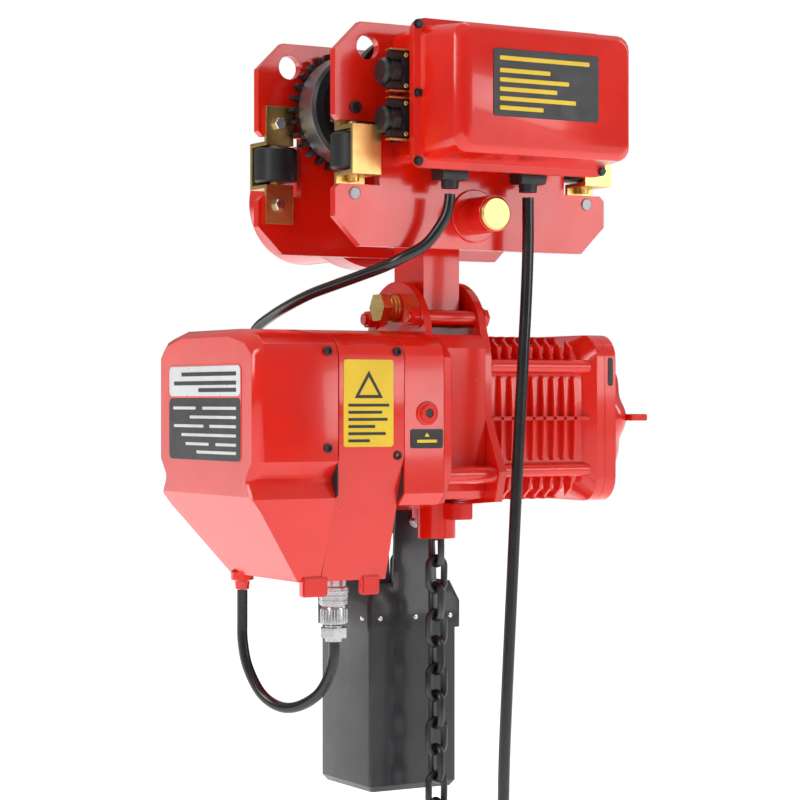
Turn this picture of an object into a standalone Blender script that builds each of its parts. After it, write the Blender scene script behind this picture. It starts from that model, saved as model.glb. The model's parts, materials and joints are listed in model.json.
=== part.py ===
"""Electric chain hoist on a motor trolley, as an assembly of separate pieces.

Frame: +X along the beam, -Y towards the control box, +Z up. The origin is at the middle of the
trolley, at the height where the four wheel treads rest on the beam's lower flange.
Sizes below are millimetres; every mesh is scaled to metres when its object is made.
"""
import math

import bmesh
import bpy
from mathutils import Vector
from mathutils.geometry import delaunay_2d_cdt

MM = 0.001
GAP = 0.3  # air between neighbouring pieces

# ---- driving dimensions ------------------------------------------------------------------------
# trolley
PLATE_HALF = 160.0
PLATE_TOP = 128.7
PLATE_BOTTOM = -92.7
PLATE_IN = 79.0  # inner face, from the middle of the trolley
PLATE_THICK = 10.0
PLATE_OUT = PLATE_IN + PLATE_THICK
PLATE_CHAMFER = 28.5
NOTCH_DEEP = 50.0
NOTCH_LOW, NOTCH_HIGH = -32.0, 30.6
LIFT_HOLE_X, LIFT_HOLE_Z, LIFT_HOLE_R = 123.4, 104.0, 12.5
WHEEL_X, WHEEL_Z = 65.5, 58.0
TREAD_R = WHEEL_Z
AXLE_R = 11.0
WHEEL_TEETH, GEAR_MODULE = 30, 4.0
PINION_TEETH = 8
SHAFT_Z, SHAFT_R = -58.5, 17.0
ROLLER_X, ROLLER_Y, ROLLER_R = 137.0, 84.0, 22.5
STRIP_HALF, STRIP_THICK, STRIP_OUT = 16.0, 4.0, 112.0
BOX_X, BOX_Z = 9.5, 54.5  # middle of the control box
BOX_BACK_Y, BOX_RIM_Y, BOX_FRONT_Y = -PLATE_OUT - GAP, -140.0, -211.0
TROLLEY_GEAR, TROLLEY_PINION = 28, 13  # teeth of module 2, between the motor and the drive pinion
# hanger and hoist
HANGER_X = -3.0
PIN_Z = -149.4
HOIST_Y, HOIST_Z = 17.0, -264.0  # axis of motor, sheave and gears
BODY_HALF = 114.0
COVER_END, COVER_SEAM, CASE_SEAM = -252.0, -160.0, -86.0
EAR_R, EAR_Z = 60.0, -182.0  # the round ears that hang on the suspension bolt
FLANGE_LEFT, FLANGE_RIGHT = (-40.0, -31.5), (26.0, 34.5)
MOTOR_END, END_COVER_X = 174.0, 222.0
CASE_BOTTOM = -425.0
STAGE_MODULE = 3.0  # gears in the hoist: 9 and 25 teeth, then 10 and 24, both pairs 51 apart
# chain
CHAIN_X, LOAD_Y, SLACK_Y = -3.0, -20.0, 54.0
CHAIN_WIRE, CHAIN_WIDE = 7.1, 26.0
CHAIN_END = -690.0
SHEAVE_R = (SLACK_Y - LOAD_Y) / 2
# cords: diameter, then the hand-chosen points of each route
POWER_CORD, LOOP_CORD, PENDANT_CORD = 11.0, 11.0, 12.0
POWER_ROUTE = [
    (-46, -118, -40.5), (-47, -118, -50), (-51, -116, -65), (-68, -109, -90), (-90, -98, -104),
    (-101, -84, -112), (-113, -50, -121), (-120, -15, -128), (-127, 25, -136), (-131, 65, -146),
    (-131, 105, -156), (-131, 140, -168), (-131, 166, -190), (-131, 173, -215), (-131, 168, -236),
    (-131, 158, -247),
]
LOOP_ROUTE = [
    (-124, -20, -490), (-124, -20, -505), (-127, -16, -524), (-134, -5, -544), (-145, 17, -558),
    (-156, 38, -560), (-167, 58, -548), (-175, 73, -522), (-178, 79, -495), (-178, 80, -470),
    (-178, 80, -442),
]
PENDANT_ROUTE = [
    (46.5, -118, -40), (46.5, -118, -90), (44, -118, -150), (39, -118, -230), (33.5, -118, -320),
    (28, -118, -420), (22.5, -118, -520), (18.5, -118, -600), (17, -118, -655), (16.6, -118, -694),
]
COIL_R, COIL_TURNS = 66.0, 3
COIL_CENTRE = (16.6 - COIL_R, -118.0, -735.0)
COIL_PITCH = 12.5
TAIL_Y = COIL_CENTRE[1] - COIL_TURNS * COIL_PITCH
TAIL_ROUTE = [(16.6, TAIL_Y, -776), (16.6, TAIL_Y, -787), (16.6, TAIL_Y, -798)]
PENDANT_X, PENDANT_TOP, PENDANT_TALL = 16.6, -824.0, 148.0

FINISHES = {  # base colour, roughness, metallic
    "red_paint": ((0.80, 0.02, 0.01), 0.25, 0.0),
    "zinc_gold": ((0.72, 0.50, 0.12), 0.35, 0.9),
    "black_plastic": ((0.02, 0.02, 0.02), 0.45, 0.0),
    "black_steel": ((0.03, 0.03, 0.03), 0.35, 0.7),
    "bright_steel": ((0.62, 0.62, 0.62), 0.30, 1.0),
    "dark_iron": ((0.05, 0.05, 0.05), 0.40, 0.6),
    "bucket_black": ((0.03, 0.03, 0.03), 0.40, 0.1),
    "cable_black": ((0.015, 0.015, 0.015), 0.30, 0.0),
    "pendant_yellow": ((0.85, 0.52, 0.02), 0.45, 0.0),
    "button_red": ((0.70, 0.02, 0.02), 0.40, 0.0),
    "label": ((0.05, 0.05, 0.05), 0.40, 0.0),
}


# ---- outlines ------------------------------------------------------------------------------------
def circle(u, v, radius, steps=20):
    """A round outline about (u, v)."""
    turn = 2 * math.pi / steps
    return [(u + radius * math.cos(i * turn), v + radius * math.sin(i * turn)) for i in range(steps)]


def rounded(u0, v0, u1, v1, radius, steps=3):
    """A rectangle with round corners, steps + 1 points to a corner."""
    corners = [
        (u1 - radius, v1 - radius, 0),
        (u0 + radius, v1 - radius, 90),
        (u0 + radius, v0 + radius, 180),
        (u1 - radius, v0 + radius, 270),
    ]
    points = []
    for u, v, start in corners:
        for i in range(steps + 1):
            angle = math.radians(start + 90 * i / steps)
            points.append((u + radius * math.cos(angle), v + radius * math.sin(angle)))
    return points


def toothed(u, v, teeth, module, phase=0.0):
    """A spur gear's outline: flat-topped teeth, phase in teeth."""
    tip, root = module * (teeth / 2 + 1), module * (teeth / 2 - 1.25)
    points = []
    for i in range(teeth):
        for step, radius in ((-0.27, root), (-0.13, tip), (0.13, tip), (0.27, root)):
            angle = 2 * math.pi * (i + phase + step) / teeth
            points.append((u + radius * math.cos(angle), v + radius * math.sin(angle)))
    return points


def mirrored(points, middle):
    """An open outline followed by its mirror image about u = middle."""
    return points + [(2 * middle - u, v) for u, v in reversed(points)]


# ---- solids ---------------------------------------------------------------------------------------
def place(axis, u, v, height):
    """Plane coordinates and a height along an axis as a point."""
    return {"X": (height, u, v), "Y": (u, height, v), "Z": (u, v, height)}[axis]


def finish_mesh(bm):
    bmesh.ops.recalc_face_normals(bm, faces=bm.faces)
    return bm


def inside(u, v, outline):
    """Whether a point lies inside an outline, by counting the edges to its right."""
    crossings = 0
    for (a, b), (c, d) in zip(outline, outline[1:] + outline[:1]):
        if (b > v) != (d > v) and u < a + (v - b) * (c - a) / (d - b):
            crossings += 1
    return crossings % 2 == 1


def triangles(outlines):
    """The face between an outline and its holes, as triples of indices into all their points."""
    points = [Vector(p) for outline in outlines for p in outline]
    edges, start = [], 0
    for outline in outlines:
        count = len(outline)
        edges += [(start + i, start + (i + 1) % count) for i in range(count)]
        start += count
    _, _, faces, origins, _, _ = delaunay_2d_cdt(points, edges, [], 1, 1e-5)
    found = []
    for face in faces:
        tri = [origins[i][0] for i in face]
        u, v = sum((points[i] for i in tri), Vector((0, 0))) / 3
        if inside(u, v, outlines[0]) and not any(inside(u, v, hole) for hole in outlines[1:]):
            found.append(tri)
    return found


def prism(outlines, axis, low, high):
    """A flat plate: the first outline is its edge and the others are holes."""
    bm = bmesh.new()
    flat = [Vector((u, v, 0)) for outline in outlines for u, v in outline]
    ends = [[bm.verts.new(place(axis, p.x, p.y, h)) for p in flat] for h in (low, high)]
    for tri in triangles(outlines):
        for verts in ends:
            bm.faces.new([verts[i] for i in tri])
    start = 0
    for outline in outlines:
        count = len(outline)
        for i in range(count):
            a, b = start + i, start + (i + 1) % count
            bm.faces.new((ends[0][a], ends[0][b], ends[1][b], ends[1][a]))
        start += count
    return finish_mesh(bm)


def loft(axis, rows, ring=False):
    """A skin over rows of (height, outline), closed at both ends or into a ring."""
    bm = bmesh.new()
    rows = [[bm.verts.new(place(axis, u, v, h)) for u, v in outline] for h, outline in rows]
    pairs = list(zip(rows, rows[1:]))
    if ring:
        pairs.append((rows[-1], rows[0]))
    for low, high in pairs:
        for i in range(len(low)):
            j = (i + 1) % len(low)
            bm.faces.new((low[i], low[j], high[j], high[i]))
    if not ring:
        bm.faces.new(rows[0])
        bm.faces.new(rows[-1])
    return finish_mesh(bm)


def turned(axis, u, v, profile, steps=20):
    """A body of revolution from a closed profile of (radius, height); radius 0 lies on the axis."""
    bm = bmesh.new()
    rows = []
    for radius, height in profile:
        outline = circle(u, v, radius, steps) if radius else [(u, v)]
        rows.append([bm.verts.new(place(axis, a, b, height)) for a, b in outline])
    for low, high in zip(rows, rows[1:] + rows[:1]):
        for i in range(steps):
            quad = [low[i % len(low)], low[(i + 1) % len(low)], high[(i + 1) % len(high)], high[i % len(high)]]
            corners = list(dict.fromkeys(quad))
            if len(corners) > 2:
                bm.faces.new(corners)
    return finish_mesh(bm)


def block(low, high, bevel=0.0):
    """A box between two corners, with its edges rounded off by a small flat."""
    bm = loft("Z", [(h, [(low[0], low[1]), (high[0], low[1]), (high[0], high[1]), (low[0], high[1])])
                    for h in (low[2], high[2])])
    if bevel:
        bmesh.ops.bevel(bm, geom=bm.edges[:], offset=bevel, segments=1, affect="EDGES")
    return bm


def swept(points, radii, steps=10):
    """A round bar along points that lie in one XZ plane, with a radius at each."""
    bm = bmesh.new()
    rows = []
    for i, (point, radius) in enumerate(zip(points, radii)):
        ahead, behind = points[min(i + 1, len(points) - 1)], points[max(i - 1, 0)]
        along = (Vector(ahead) - Vector(behind)).normalized()
        side = Vector((along.z, 0, -along.x))
        row = []
        for j in range(steps):
            angle = 2 * math.pi * j / steps
            offset = side * math.cos(angle) * radius + Vector((0, 1, 0)) * math.sin(angle) * radius
            row.append(bm.verts.new(Vector(point) + offset))
        rows.append(row)
    for low, high in zip(rows, rows[1:]):
        for i in range(steps):
            j = (i + 1) % steps
            bm.faces.new((low[i], low[j], high[j], high[i]))
    bm.faces.new(rows[0])
    bm.faces.new(rows[-1])
    return finish_mesh(bm)


def sliced(bm, point, normal):
    """The part of a solid behind a plane, closed again on the plane."""
    bmesh.ops.bisect_plane(bm, geom=bm.verts[:] + bm.edges[:] + bm.faces[:], plane_co=point,
                           plane_no=normal, clear_outer=True)
    bmesh.ops.holes_fill(bm, edges=[e for e in bm.edges if e.is_boundary])
    return finish_mesh(bm)


# ---- objects --------------------------------------------------------------------------------------
def material(finish):
    """The finish's Principled material, made once."""
    found = bpy.data.materials.get(finish)
    if found:
        return found
    colour, roughness, metallic = FINISHES[finish]
    made = bpy.data.materials.new(finish)
    made.use_nodes = True
    shader = made.node_tree.nodes["Principled BSDF"]
    shader.inputs["Base Color"].default_value = (*colour, 1.0)
    shader.inputs["Roughness"].default_value = roughness
    shader.inputs["Metallic"].default_value = metallic
    return made


def add_object(name, bm, finish, origin=(0, 0, 0)):
    """An object in metres, with its own origin where its joint is."""
    mesh = bpy.data.meshes.new(name)
    bmesh.ops.translate(bm, verts=bm.verts, vec=-Vector(origin))
    bmesh.ops.scale(bm, verts=bm.verts, vec=(MM, MM, MM))
    bm.to_mesh(mesh)
    bm.free()
    mesh.shade_smooth()
    mesh.set_sharp_from_angle(angle=math.radians(32))
    mesh.materials.append(material(finish))
    made = bpy.data.objects.new(name, mesh)
    made.location = Vector(origin) * MM
    bpy.context.scene.collection.objects.link(made)
    return made


def combine(target, bm, operation):
    """Join a solid to an object, or cut it away, and keep the result as the object's mesh."""
    tool = add_object("tool", bm, "red_paint")
    bpy.context.view_layer.update()
    change = target.modifiers.new("change", "BOOLEAN")
    change.operation = operation
    change.solver = "EXACT"
    change.object = tool
    graph = bpy.context.evaluated_depsgraph_get()
    mesh = bpy.data.meshes.new_from_object(target.evaluated_get(graph))
    target.modifiers.clear()
    old, tool_mesh = target.data, tool.data
    finish = old.materials[0]
    target.data = mesh
    mesh.materials.clear()
    mesh.materials.append(finish)
    bpy.data.objects.remove(tool)
    bpy.data.meshes.remove(old)
    bpy.data.meshes.remove(tool_mesh)
    mesh.name = target.name
    return target


def join(target, *solids):
    for bm in solids:
        combine(target, bm, "UNION")
    return target


def cut(target, *solids):
    for bm in solids:
        combine(target, bm, "DIFFERENCE")
    return target


def smooth_points(route, spacing):
    """Evenly spaced points on a smooth curve through a route."""
    knots = [Vector(p) for p in route]
    knots = [2 * knots[0] - knots[1]] + knots + [2 * knots[-1] - knots[-2]]
    fine = []
    for a, b, c, d in zip(knots, knots[1:], knots[2:], knots[3:]):
        for i in range(12):
            t = i / 12
            fine.append(0.5 * (2 * b + (c - a) * t + (2 * a - 5 * b + 4 * c - d) * t * t
                               + (3 * b - a - 3 * c + d) * t ** 3))
    fine.append(knots[-2])
    lengths = [(q - p).length for p, q in zip(fine, fine[1:])]
    count = max(2, round(sum(lengths) / spacing))
    step = sum(lengths) / count
    points, walked, target = [fine[0]], 0.0, step
    for p, q, length in zip(fine, fine[1:], lengths):
        while len(points) < count and walked + length >= target:
            points.append(p.lerp(q, (target - walked) / length))
            target += step
        walked += length
    points.append(fine[-1])
    return points


def cord(name, route, diameter, finish="cable_black"):
    """A round cord along a route, as a curve with a bevel."""
    curve = bpy.data.curves.new(name, "CURVE")
    curve.dimensions = "3D"
    curve.bevel_depth = diameter / 2 * MM
    curve.bevel_resolution = 2
    curve.use_fill_caps = True
    curve.render_resolution_u = 0
    points = smooth_points(route, 2.4 * diameter)
    spline = curve.splines.new("POLY")
    spline.points.add(len(points) - 1)
    for place_on, point in zip(spline.points, points):
        place_on.co = (*(point * MM), 1.0)
    curve.materials.append(material(finish))
    made = bpy.data.objects.new(name, curve)
    bpy.context.scene.collection.objects.link(made)
    return made


# ---- trolley ---------------------------------------------------------------------------------------
def plate_outline():
    """A side plate: an octagon with a notch in each short edge for the guide rollers."""
    right = [
        (PLATE_HALF - PLATE_CHAMFER, PLATE_BOTTOM),
        (PLATE_HALF, PLATE_BOTTOM + PLATE_CHAMFER),
        (PLATE_HALF, NOTCH_LOW - 5),
        (PLATE_HALF - 5, NOTCH_LOW),
        (PLATE_HALF - NOTCH_DEEP, NOTCH_LOW),
        (PLATE_HALF - NOTCH_DEEP, NOTCH_HIGH),
        (PLATE_HALF - 5, NOTCH_HIGH),
        (PLATE_HALF, NOTCH_HIGH + 5),
        (PLATE_HALF, PLATE_TOP - PLATE_CHAMFER),
        (PLATE_HALF - PLATE_CHAMFER, PLATE_TOP),
    ]
    return mirrored(right, 0.0)


def add_side_plate(name, side, extra_holes=()):
    """A trolley side plate with its lifting, axle and shaft holes; side is -1 in front, 1 behind."""
    holes = [circle(0, SHAFT_Z, SHAFT_R + GAP)]
    for x in (-1, 1):
        holes.append(circle(x * LIFT_HOLE_X, LIFT_HOLE_Z, LIFT_HOLE_R, 14))
        for z in (43.5, -41.0):
            holes.append(circle(x * 138, z, 4.5, 8))
    low, high = sorted((side * PLATE_IN, side * PLATE_OUT))
    made = add_object(name, prism([plate_outline(), *holes, *extra_holes], "Y", low, high), "red_paint")
    return join(made, axle(-WHEEL_X, side), axle(WHEEL_X, side))


def axle(x, side):
    """A wheel's axle stud, pressed into the side plate, with a collar at the wheel's inner face."""
    profile = [(0, 13), (16, 13), (16, 22.5), (AXLE_R, 22.5), (AXLE_R, PLATE_OUT - 1), (0, PLATE_OUT - 1)]
    return turned("Y", x, WHEEL_Z, [(r, side * y) for r, y in profile], 14)


def add_load_shaft():
    """The shaft that ties the side plates together and carries the hanger."""
    front, back = -133.0, 106.0
    profile = [(0, front), (SHAFT_R - 2, front), (SHAFT_R, front + 2), (SHAFT_R, back - 2),
               (SHAFT_R - 2, back), (0, back)]
    add_object("load_shaft", turned("Y", 0, SHAFT_Z, profile), "zinc_gold")
    for name, low, high in (("spacer_front", -PLATE_IN + GAP, -30 - GAP), ("spacer_rear", 30 + GAP, PLATE_IN - GAP)):
        ring = [(SHAFT_R + GAP, low), (25, low), (25, high), (SHAFT_R + GAP, high)]
        add_object(name, turned("Y", 0, SHAFT_Z, ring), "red_paint")


def wheel_profile(side, geared):
    """A flanged trolley wheel's section, from the plate inwards."""
    near, step, rim = side * 71.0, side * 58.5, side * 25.0
    edge = TREAD_R - 4 if geared else TREAD_R + 6.5
    bore = AXLE_R + GAP
    return [(bore, near), (edge, near), (edge, step), (TREAD_R, step), (TREAD_R, side * 28.0),
            (TREAD_R - 3, rim), (46, rim), (42, rim + side * 9), (24, rim + side * 9), (22, rim - side * 2),
            (bore, rim - side * 2)]


def add_wheel(name, x, side, geared):
    """One wheel: a plain flange in front, a toothed one behind."""
    origin = (x, side * 48.0, WHEEL_Z)
    made = add_object(name, turned("Y", x, WHEEL_Z, wheel_profile(side, geared)), "dark_iron", origin)
    if geared:
        phase = 0.0 if x < 0 else gear_phase()
        edge = toothed(x, WHEEL_Z, WHEEL_TEETH, GEAR_MODULE, phase)
        join(made, prism([edge, circle(x, WHEEL_Z, 40, 10)], "Y", 58.5, 70.8))


def pinion_drop():
    """How far the drive pinion's centre lies below the wheel centres."""
    reach = GEAR_MODULE * (WHEEL_TEETH + PINION_TEETH) / 2
    return math.sqrt(reach ** 2 - WHEEL_X ** 2)


def pinion_phase():
    """The pinion's phase, in teeth, that puts a gap on the left wheel's tooth."""
    to_pinion = math.atan2(-pinion_drop(), WHEEL_X)
    wheel_at = to_pinion / (2 * math.pi) * WHEEL_TEETH
    wheel_offset = wheel_at - round(wheel_at)
    back = (to_pinion + math.pi) / (2 * math.pi) * PINION_TEETH
    return back + 0.5 + wheel_offset


def gear_phase():
    """The right wheel's phase, in teeth, that meshes it with the same pinion."""
    to_wheel = math.atan2(pinion_drop(), WHEEL_X)
    pinion_at = to_wheel / (2 * math.pi) * PINION_TEETH - pinion_phase()
    offset = pinion_at - round(pinion_at)
    back = (to_wheel + math.pi) / (2 * math.pi) * WHEEL_TEETH
    return back + 0.5 + offset


def add_wheels():
    for side, row in ((-1, "front"), (1, "rear")):
        for x, end in ((-WHEEL_X, "left"), (WHEEL_X, "right")):
            add_wheel(f"wheel_{row}_{end}", x, side, side > 0)


def add_drive_pinion():
    """The pinion between the geared wheels, on the trolley gearbox's output shaft."""
    z = WHEEL_Z - pinion_drop()
    made = add_object("drive_pinion", prism([toothed(0, z, PINION_TEETH, GEAR_MODULE, pinion_phase())], "Y", 59, 71),
                      "bright_steel", (0, 65, z))
    shaft = turned("Y", 0, z, [(0, 60), (8, 60), (8, 134), (0, 134)], 10)
    gear = prism([toothed(0, z, TROLLEY_GEAR, 2.0)], "Y", 118, 130)
    join(made, shaft, gear)


def add_trolley_drive():
    """The trolley's gear case, motor case and rotor, outside the rear plate."""
    z_out = WHEEL_Z - pinion_drop()
    z = z_out - TROLLEY_GEAR - TROLLEY_PINION
    seat = PLATE_OUT + GAP
    profile = [(0, 112), (76, 112), (80, 116), (80, 150), (74, 150), (74, 117), (0, 117)]
    case = add_object("trolley_gear_case", turned("Y", 0, z, profile), "red_paint")
    join(case, prism([rounded(-42, -14, 42, 50, 10)], "Y", seat, 113))
    cut(case, turned("Y", 0, z_out, [(0, 80), (9.5, 80), (9.5, 118), (0, 118)], 12))
    start = 150 + GAP
    shell = [(10, start), (80, start), (80, start + 8), (68, start + 12), (68, 286), (60, 298), (0, 301),
             (0, 293), (56, 290), (62, 282), (62, start + 6), (10, start + 6)]
    add_object("trolley_motor_case", turned("Y", 0, z, shell), "red_paint")
    rotor = [(0, 131), (8, 131), (8, 165), (44, 165), (44, 270), (7, 270), (7, 285), (0, 285)]
    made = add_object("trolley_rotor", turned("Y", 0, z, rotor, 12), "bright_steel", (0, 200, z))
    join(made, prism([toothed(0, z, TROLLEY_PINION, 2.0, 0.75)], "Y", 118, 132))


def strip_outline(side):
    """The side view of a roller bracket: two tabs on the plate with a square bulge between them."""
    inner, outer, t = PLATE_IN - GAP - STRIP_THICK, STRIP_OUT, STRIP_THICK
    top, high, low, bottom = 62.0, 25.0, -24.0, -61.0
    path = [(inner + t, top), (inner + t, high), (outer, high), (outer, low), (inner + t, low), (inner + t, bottom),
            (inner, bottom), (inner, low + t), (outer - t, low + t), (outer - t, high - t), (inner, high - t),
            (inner, top)]
    return [(side * y, z) for y, z in path]


def add_guide_rollers():
    """Each roller bracket with its pin, and the roller that runs along the beam's edge."""
    for side, row in ((-1, "front"), (1, "rear")):
        for x, end in ((-ROLLER_X, "left"), (ROLLER_X, "right")):
            strip = prism([strip_outline(side)], "X", x - STRIP_HALF, x + STRIP_HALF)
            bracket = add_object(f"roller_bracket_{row}_{end}", strip, "zinc_gold")
            pin = [(0, -29), (6, -29), (6, 30), (0, 30)]
            join(bracket, turned("Z", x, side * ROLLER_Y, pin, 12))
            low, high = -17.5, 18.5
            wall = [(6.5, low), (ROLLER_R - 2, low), (ROLLER_R, low + 2), (ROLLER_R, high - 2), (ROLLER_R - 2, high),
                    (6.5, high)]
            add_object(f"guide_roller_{row}_{end}", turned("Z", x, side * ROLLER_Y, wall, 14), "black_plastic",
                       (x, side * ROLLER_Y, 0.5))


def box_row(grow, y, radius):
    """One rounded outline of the control box, grown beyond its rim's inside."""
    half_x, half_z = 105.0 + grow, 65.0 + grow
    return y, rounded(BOX_X - half_x, BOX_Z - half_z, BOX_X + half_x, BOX_Z + half_z, radius, 2)


def add_control_box():
    """The box's back tray and its domed cover, both hollow and open towards each other."""
    rim = BOX_RIM_Y
    tray = [box_row(0, BOX_BACK_Y, 8), box_row(0, rim + 3, 8), box_row(8, rim + 3, 12), box_row(8, rim, 12),
            box_row(-3, rim, 5), box_row(-3, BOX_BACK_Y - 3, 5)]
    add_object("box_base", loft("Y", tray), "red_paint")
    seat, front = rim - GAP, BOX_FRONT_Y
    cover = [box_row(-3, seat, 5), box_row(8, seat, 12), box_row(8, seat - 5, 12), box_row(1, seat - 7, 12),
             box_row(-3, front + 8, 14), box_row(-8, front + 1, 14), box_row(-10, front, 13)]
    hollow = [box_row(-3, seat + 5, 5), box_row(-3, seat - 4, 5), box_row(-7, front + 10, 10),
              box_row(-11, front + 4, 12)]
    cut(add_object("box_cover", loft("Y", cover), "red_paint"), loft("Y", hollow))


def add_glands():
    """The two cable clamps under the box, each with a collar round its cable."""
    for name, x, size in (("gland_power", -46.0, POWER_CORD), ("gland_pendant", 46.5, PENDANT_CORD)):
        top = BOX_Z - 65.0 - GAP
        y = -118.0
        made = add_object(name, block((x - 27, y - 15, top - 5), (x + 27, y + 15, top), 1.0), "black_plastic")
        join(made, block((x - 16, y - 11, top - 16), (x + 16, y + 11, top - 4), 1.5),
             turned("Z", x, y, [(0, -34.7), (size / 2 + 3, -34.7), (size / 2 + 4, top - 8), (0, top - 8)], 12))


# ---- hanger ----------------------------------------------------------------------------------------
def add_hanger():
    """The bar between the load shaft and the hoist's suspension bolt."""
    eye = turned("Y", 0, SHAFT_Z, [(SHAFT_R + GAP, -30), (31, -30), (31, 30), (SHAFT_R + GAP, 30)])
    made = add_object("hanger_bar", eye, "red_paint", (0, 0, SHAFT_Z))
    low = PIN_Z - 20
    side = [(-30, -80.0), (30, -80.0), (30, low + 10), (20, low), (-20, low), (-30, low + 10)]
    join(made, prism([side], "X", HANGER_X - 21.5, HANGER_X + 21.5))
    cut(made, turned("X", 0, PIN_Z, [(0, -40), (10 + GAP, -40), (10 + GAP, 40), (0, 40)], 16))


# ---- hoist body ------------------------------------------------------------------------------------
def body_outline(grow=0.0, bottom=None):
    """The hoist's section: straight sides, an arched top and, in front of the motor, a bevelled base."""
    half = BODY_HALF + grow
    top = -173.0 + grow
    upper = [(half, -202), (half - 4, -191 + grow), (half - 16, -182 + grow), (half - 52, top - 2)]
    if bottom is None:
        lower = [(60, -357 - grow), (half - 12, -350 - grow), (half, -338)]
    else:
        lower = [(76 + grow, bottom - grow), (half, -300)]
    right = [(HOIST_Y + u, v) for u, v in lower + upper]
    return mirrored(right, HOIST_Y)


def ear_outline(corner):
    """A suspension flange: the body's section with a round ear on top, wider at its lower corners."""
    half = 85.0 if corner else BODY_HALF
    right = [(HOIST_Y + 40, -354), (HOIST_Y + half + (20 if corner else -14), -349)]
    right += [(HOIST_Y + half + (29 if corner else 0), -318), (HOIST_Y + half, -262 if corner else -300)]
    right += [(HOIST_Y + half, -202), (HOIST_Y + half - 16, -183)]
    left = [(2 * HOIST_Y - u, v) for u, v in reversed(right)]
    if corner:
        left = left[1:]
    ear = []
    for i in range(13):
        angle = math.pi * (0.04 + 0.92 * i / 12)
        ear.append((EAR_R * math.cos(angle), EAR_Z + EAR_R * math.sin(angle)))
    return right + [(66, -180)] + ear + [(-63, -181)] + left


def add_flanges():
    """The two flange plates whose ears hang on the suspension bolt."""
    ribs = [(45.0, -160.0, 6.0), (-45.0, -160.0, 6.0)]
    for name, span, corner in (("left_flange", FLANGE_LEFT, False), ("right_flange", FLANGE_RIGHT, True)):
        holes = [circle(0, PIN_Z, 10 + GAP, 16), circle(HOIST_Y, HOIST_Z, 22 if name == "left_flange" else 26, 16)]
        holes += [circle(y, z, r + GAP, 12) for y, z, r in ribs]
        add_object(name, prism([ear_outline(corner), *holes], "X", *span), "red_paint")


def add_suspension():
    """The suspension bolt and the tie rods between the ears."""
    bolt = [(0, -52), (10, -52), (10, 52), (0, 52)]
    made = add_object("suspension_bolt", turned("X", 0, PIN_Z, bolt, 16), "zinc_gold")
    head = prism([circle(0, PIN_Z, 15.6, 6)], "X", -63, -51.9)
    nut = prism([circle(0, PIN_Z, 15.6, 6)], "X", 37, 48)
    boss = turned("X", 0, PIN_Z, [(0, -52), (14, -52), (14, -40 - GAP), (0, -40 - GAP)], 16)
    join(made, head, nut, boss)
    for name, y in (("tie_rod_front", -45.0), ("tie_rod_rear", 45.0)):
        rod = [(0, -54), (6, -54), (6, FLANGE_LEFT[1] + GAP), (7.5, FLANGE_LEFT[1] + GAP),
               (7.5, FLANGE_RIGHT[0] - GAP), (6, FLANGE_RIGHT[0] - GAP), (6, 42), (0, 42)]
        add_object(name, turned("X", y, -160, rod, 12), "red_paint")


def add_mid_frame():
    """The housing between the flanges, hollow for the load sheave and open below for the chain."""
    low, high = FLANGE_LEFT[1] + GAP, FLANGE_RIGHT[0] - GAP
    half = 87.0
    right = [(HOIST_Y + 50, -350), (HOIST_Y + half - 6, -346), (HOIST_Y + half, -338), (HOIST_Y + half, -192),
             (HOIST_Y + half - 10, -178)]
    outline, bearing = mirrored(right, HOIST_Y), circle(HOIST_Y, HOIST_Z, 22, 16)
    made = add_object("mid_frame", prism([outline, bearing], "X", low, high), "red_paint")
    cut(made, turned("X", HOIST_Y, HOIST_Z, [(0, -21), (57, -21), (57, 15), (0, 15)]),
        block((CHAIN_X - 15, LOAD_Y - 15, -360), (CHAIN_X + 15, LOAD_Y + 15, -184)),
        block((CHAIN_X - 15, SLACK_Y - 15, -360), (CHAIN_X + 15, SLACK_Y + 15, -184)))
    lug = [(28, -345), (28, -392), (33, -405), (37, -405), (37, -345)]
    join(made, prism([lug], "X", -12, 6))


def add_chain_guide():
    """The guide under the frame that the load chain runs through."""
    made = add_object("chain_guide", turned("Z", CHAIN_X, LOAD_Y, [(0, -388), (20, -388), (20, -350.5), (0, -350.5)],
                                            16), "red_paint")
    join(made, block((-6.5, -60, -368), (17, -20, -350.5), 1.0), block((-20, -20, -368), (14, 2, -350.5), 1.0))
    cut(made, turned("Z", CHAIN_X, LOAD_Y, [(0, -400), (15, -400), (15, -340), (0, -340)], 16))


def add_gear_cases():
    """The gear case beside the left flange and the taller electrical case beyond it."""
    low, high = CASE_SEAM + GAP, FLANGE_LEFT[0] - GAP
    case = add_object("gearbox_case", prism([body_outline()], "X", low, high), "red_paint")
    cut(case, prism([body_outline(-7)], "X", low + 6, high + 5))
    low, high = COVER_SEAM + GAP, CASE_SEAM - GAP
    outline = body_outline(0, CASE_BOTTOM)
    made = add_object("electrical_case", prism([outline], "X", low, high), "red_paint")
    cut(made, prism([body_outline(-6, CASE_BOTTOM)], "X", low - 5, high - 6))
    back = HOIST_Y + BODY_HALF
    spigot = [(0, back - 3), (15, back - 3), (15, back + 6), (11, back + 8), (9, back + 18), (0, back + 18)]
    join(made, turned("Y", -131, -248, spigot, 12))


def cover_section(x, grow):
    """The left cover's section: a groove runs along each side, above a tapered lower part."""
    half = BODY_HALF - 1 + grow
    right = [(75 + grow, CASE_BOTTOM - grow), (half - 5, -341), (half - 13, -326), (half - 13, -321), (half, -305),
             (half, -202), (half - 4, -191 + grow), (half - 16, -182 + grow), (half - 52, -175 + grow)]
    return x, mirrored([(HOIST_Y + u, v) for u, v in right], HOIST_Y)


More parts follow.
